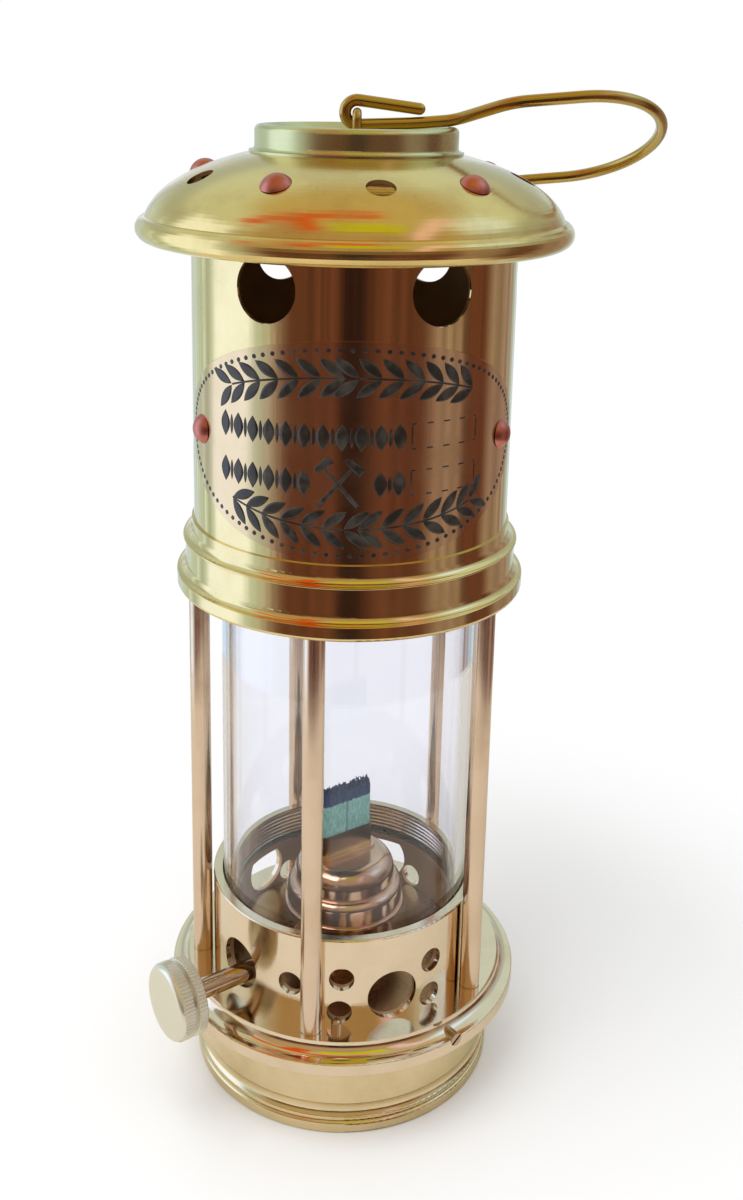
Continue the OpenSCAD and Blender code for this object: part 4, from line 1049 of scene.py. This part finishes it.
class LAMP_OT_wick(Operator):
    """Weave the flat wick with its frayed, inked edge"""

    bl_idname = "lamp.wick"
    bl_label = "Woven wick"

    def execute(self, context):
        w = context.scene.lamp_wick
        low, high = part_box("wick")
        turn = wick_turn()
        thick = 0.0024
        spread = (high.x - low.x - thick) / math.cos(turn)
        straight, half = spread / 2, thick / 2
        girth = 2 * spread + np.pi * thick
        rows = np.concatenate([np.linspace(low.z, high.z - 0.015, 12)[:-1], np.linspace(high.z - 0.015, high.z - 0.0007, 76)])
        z, s = np.meshgrid(rows, np.linspace(0, girth, w.cords * 8, endpoint=False), indexing="ij")
        u, v, nu, nv = self.oval(s, spread, half)
        wave = np.abs(np.sin(np.pi * s / girth * w.cords + 0.5 * np.sin(z * 5200)))
        ease = np.clip((high.z - 0.0007 - z) / 0.0012, 0, 1)
        push = -w.relief * (1 - wave) - 0.0005 * (1 - ease) ** 2
        ragged = 0.00035 * np.sin(s * 9100) * np.sin(s * 3300 + 1.0) * (1 - ease)
        u, v = u + nu * push, v + nv * push
        z = z + ragged
        points = [self.turned(u, v, z, turn).reshape(-1, 3)]
        count = z.shape[1]
        faces = grid_faces(len(rows), count, wrap_columns=True)[:, ::-1].tolist()
        faces += [list(range(count)), list(range(len(rows) * count - 1, (len(rows) - 1) * count - 1, -1))]
        start = len(points[0])
        strands, walls, caps = self.frayed(w, straight, half, high.z, turn)
        per = strands.shape[1] * strands.shape[2]
        for k in range(len(strands)):
            offset = start + k * per
            faces += (walls + offset).tolist() + [[c + offset for c in cap] for cap in caps]
        points.append(strands.reshape(-1, 3))
        add_piece("woven_wick", np.vstack(points), faces, "wick", "woven_cotton", ["wick"])
        return {"FINISHED"}

    @staticmethod
    def oval(s, spread, half):
        """Point and outward normal of a flat oval at a distance s round it: two straight sides of
        a length and two half circles."""
        end = np.pi * half
        legs = [spread, end, spread, end]
        edges = np.cumsum([0] + legs)
        bend = np.select(
            [s < edges[1], s < edges[2], s < edges[3]],
            [0 * s, (s - edges[1]) / half, 0 * s + np.pi], np.pi + (s - edges[3]) / half,
        )
        along = np.select(
            [s < edges[1], s < edges[2], s < edges[3]],
            [s - spread / 2, 0 * s + spread / 2, spread / 2 - (s - edges[2])], 0 * s - spread / 2,
        )
        nu, nv = np.sin(bend), -np.cos(bend)
        return along + half * nu, half * nv, nu, nv

    @staticmethod
    def turned(u, v, z, turn):
        """Places in the lamp's frame of points given along and across the wick."""
        return np.stack([u * math.cos(turn) - v * math.sin(turn), u * math.sin(turn) + v * math.cos(turn), z], -1)

    def frayed(self, w, straight, half, top, turn):
        """Short bent strands along the wick's top edge, with seeded random leans and lengths."""
        random = np.random.default_rng(7)
        count = 120
        u = np.linspace(-straight - half * 0.6, straight + half * 0.6, count) + random.normal(0, 0.0001, count)
        v = random.uniform(-half * 0.75, half * 0.75, count)
        size = w.strand * random.uniform(0.45, 1.0, count)
        lean_u, lean_v = random.normal(0, 0.35, count), random.normal(0, 0.45, count)
        t = np.linspace(0, 1, 5)[None]
        z = top - 0.0011 + (0.0003 + size)[:, None] * t
        uu = u[:, None] + (lean_u * size)[:, None] * t**2
        vv = v[:, None] + (lean_v * size)[:, None] * t**2
        places = self.turned(uu, vv, np.minimum(z, top + 0.0004), turn)
        sides_a = np.broadcast_to([1.0, 0, 0], places.shape)
        sides_b = np.broadcast_to([0, 1.0, 0], places.shape)
        radii = w.strand_size / 2 * np.broadcast_to([1.0, 1.0, 0.95, 0.8, 0.35], places.shape[:2])
        points, walls, caps = tube_along(places, sides_a, sides_b, radii, 6)
        return points, walls, caps


class LAMP_OT_knob(Operator):
    """Turn and knurl the winder's knob: two discs, a groove and a domed face"""

    bl_idname = "lamp.knob"
    bl_label = "Winder knob"

    def execute(self, context):
        k = context.scene.lamp_knob
        pivot, way = joint("winder_turn")
        way = way / np.linalg.norm(way)
        low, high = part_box("winder_knob")
        radius = (high.z - low.z) / 2
        across = np.array([-way[1], way[0], 0.0])
        middle = (np.array(low) + np.array(high)) / 2
        total = k.front + k.groove + k.rear
        centre = (middle - pivot) @ way
        rear = centre - total / 2
        w, r, knurl, groove_shade = self.profile(k, radius, total)
        columns = k.knurls * 6
        a = np.linspace(0, 2 * np.pi, columns, endpoint=False)[None]
        ridge = 1 - np.abs(2 * (k.knurls * a / (2 * np.pi) % 1.0) - 1)
        valley = 1 - np.minimum(ridge * 1.5, 1.0)
        rr = r[:, None] - k.knurl_depth * knurl[:, None] * valley
        up = np.array([0.0, 0.0, 1.0])
        ring = across * np.cos(a)[..., None] + up * np.sin(a)[..., None]
        points = pivot + way * (rear + w)[:, None, None] + ring * rr[..., None]
        points = points.reshape(-1, 3)
        ends = np.stack([pivot + way * rear, pivot + way * (rear + total)])
        start = len(points)
        faces = grid_faces(len(w), columns, wrap_columns=True)[:, ::-1].tolist()
        j = np.arange(columns)
        faces += np.stack([np.full(columns, start), j, (j + 1) % columns], -1)[:, ::-1].tolist()
        last = (len(w) - 1) * columns
        faces += np.stack([np.full(columns, start + 1), last + j, last + (j + 1) % columns], -1).tolist()
        # painted shade: the groove, and three quarters in the knurls' valleys
        shade = np.maximum(groove_shade[:, None], 0.75 * knurl[:, None] * valley)
        points = np.vstack([points, ends])
        made = add_piece("knurled_knob", points, faces, "winder", "pale_brass", ["winder_knob"])
        mask = made.data.attributes.new("shade", "FLOAT", "POINT")
        mask.data.foreach_set("value", np.concatenate([shade.ravel(), [0.0, 0.0]]))
        return {"FINISHED"}

    @staticmethod
    def profile(k, radius, total):
        """The knob's outline: distance along the shaft, radius, 1 where it is knurled, and 1 in the groove, where
        shade is painted.
        """
        bevel = 0.00025
        fine = 0.00014
        rear_rows = np.arange(bevel, k.rear - bevel, fine)
        start = k.rear + k.groove
        front_rows = np.arange(start + bevel, total - k.rounding - 0.0004, fine)
        round_t = np.linspace(0, np.pi / 2, 12)[1:]
        shoulder = radius - k.knurl_depth * 0.5
        edge_w = front_rows[-1]
        rise = total - 0.0005 - edge_w
        round_w = edge_w + fine + (rise - fine) * np.sin(round_t)
        round_r = shoulder - k.rounding * (1 - np.cos(round_t))
        face_r = np.linspace(round_r[-1], 0, 14)[1:-1]
        face_w = round_w[-1] + 0.0005 * (1 - (face_r / round_r[-1]) ** 2)
        floor_r = radius - 0.0014
        w = np.concatenate([[0, 0], rear_rows, [k.rear, k.rear, start, start], front_rows, round_w, face_w])
        r = np.concatenate([
            [radius * 0.5, radius - bevel * 2], np.full(len(rear_rows), radius), [radius - bevel * 2, floor_r],
            [floor_r, radius - bevel * 2], np.full(len(front_rows), radius), round_r, face_r,
        ])
        knurl = np.concatenate([
            [0, 0], np.ones(len(rear_rows)), [0, 0, 0, 0], np.ones(len(front_rows)), np.zeros(len(round_w) + len(face_w)),
        ])
        # painted shade: 1 on the rows of the groove between the discs
        groove_shade = np.zeros(len(w))
        gap = 2 + len(rear_rows)
        groove_shade[gap : gap + 4] = 1.0
        return w, r, knurl, groove_shade


class LAMP_PT_panel(Panel):
    """Lists the lamp's operators and settings"""

    bl_idname = "LAMP_PT_panel"
    bl_label = "Miners lamp"
    bl_space_type = "VIEW_3D"
    bl_region_type = "UI"
    bl_category = "Lamp"

    def draw(self, context):
        for operator in OPERATORS:
            self.layout.operator(operator.bl_idname)
        for label in SETTINGS:
            group = getattr(context.scene, label)
            box = self.layout.box()
            for name in group.__annotations__:
                box.prop(group, name)


SETTINGS = {
    "lamp_studio": StudioSettings,
    "lamp_finish": FinishSettings,
    "lamp_engraving": EngravingSettings,
    "lamp_thread": ThreadSettings,
    "lamp_wick": WickSettings,
    "lamp_knob": KnobSettings,
    "lamp_hook": HookSettings,
}
OPERATORS = [
    LAMP_OT_stage, LAMP_OT_finishes, LAMP_OT_engraving, LAMP_OT_thread, LAMP_OT_hook, LAMP_OT_wick, LAMP_OT_knob
]


def register():
    """Registers the settings, the operators and the panel."""
    for label, group in SETTINGS.items():
        bpy.utils.register_class(group)
        setattr(bpy.types.Scene, label, PointerProperty(type=group))
    for operator in OPERATORS:
        bpy.utils.register_class(operator)
    bpy.utils.register_class(LAMP_PT_panel)


def unregister():
    """Takes the panel, the operators and the settings away again."""
    bpy.utils.unregister_class(LAMP_PT_panel)
    for operator in reversed(OPERATORS):
        bpy.utils.unregister_class(operator)
    for label, group in SETTINGS.items():
        delattr(bpy.types.Scene, label)
        bpy.utils.unregister_class(group)


def main():
    """Builds the whole scene."""
    register()
    bpy.ops.lamp.stage()
    bpy.ops.lamp.finishes()
    bpy.ops.lamp.engraving()
    bpy.ops.lamp.thread()
    bpy.ops.lamp.hook()
    bpy.ops.lamp.wick()
    bpy.ops.lamp.knob()


if __name__ == "__main__":
    main()
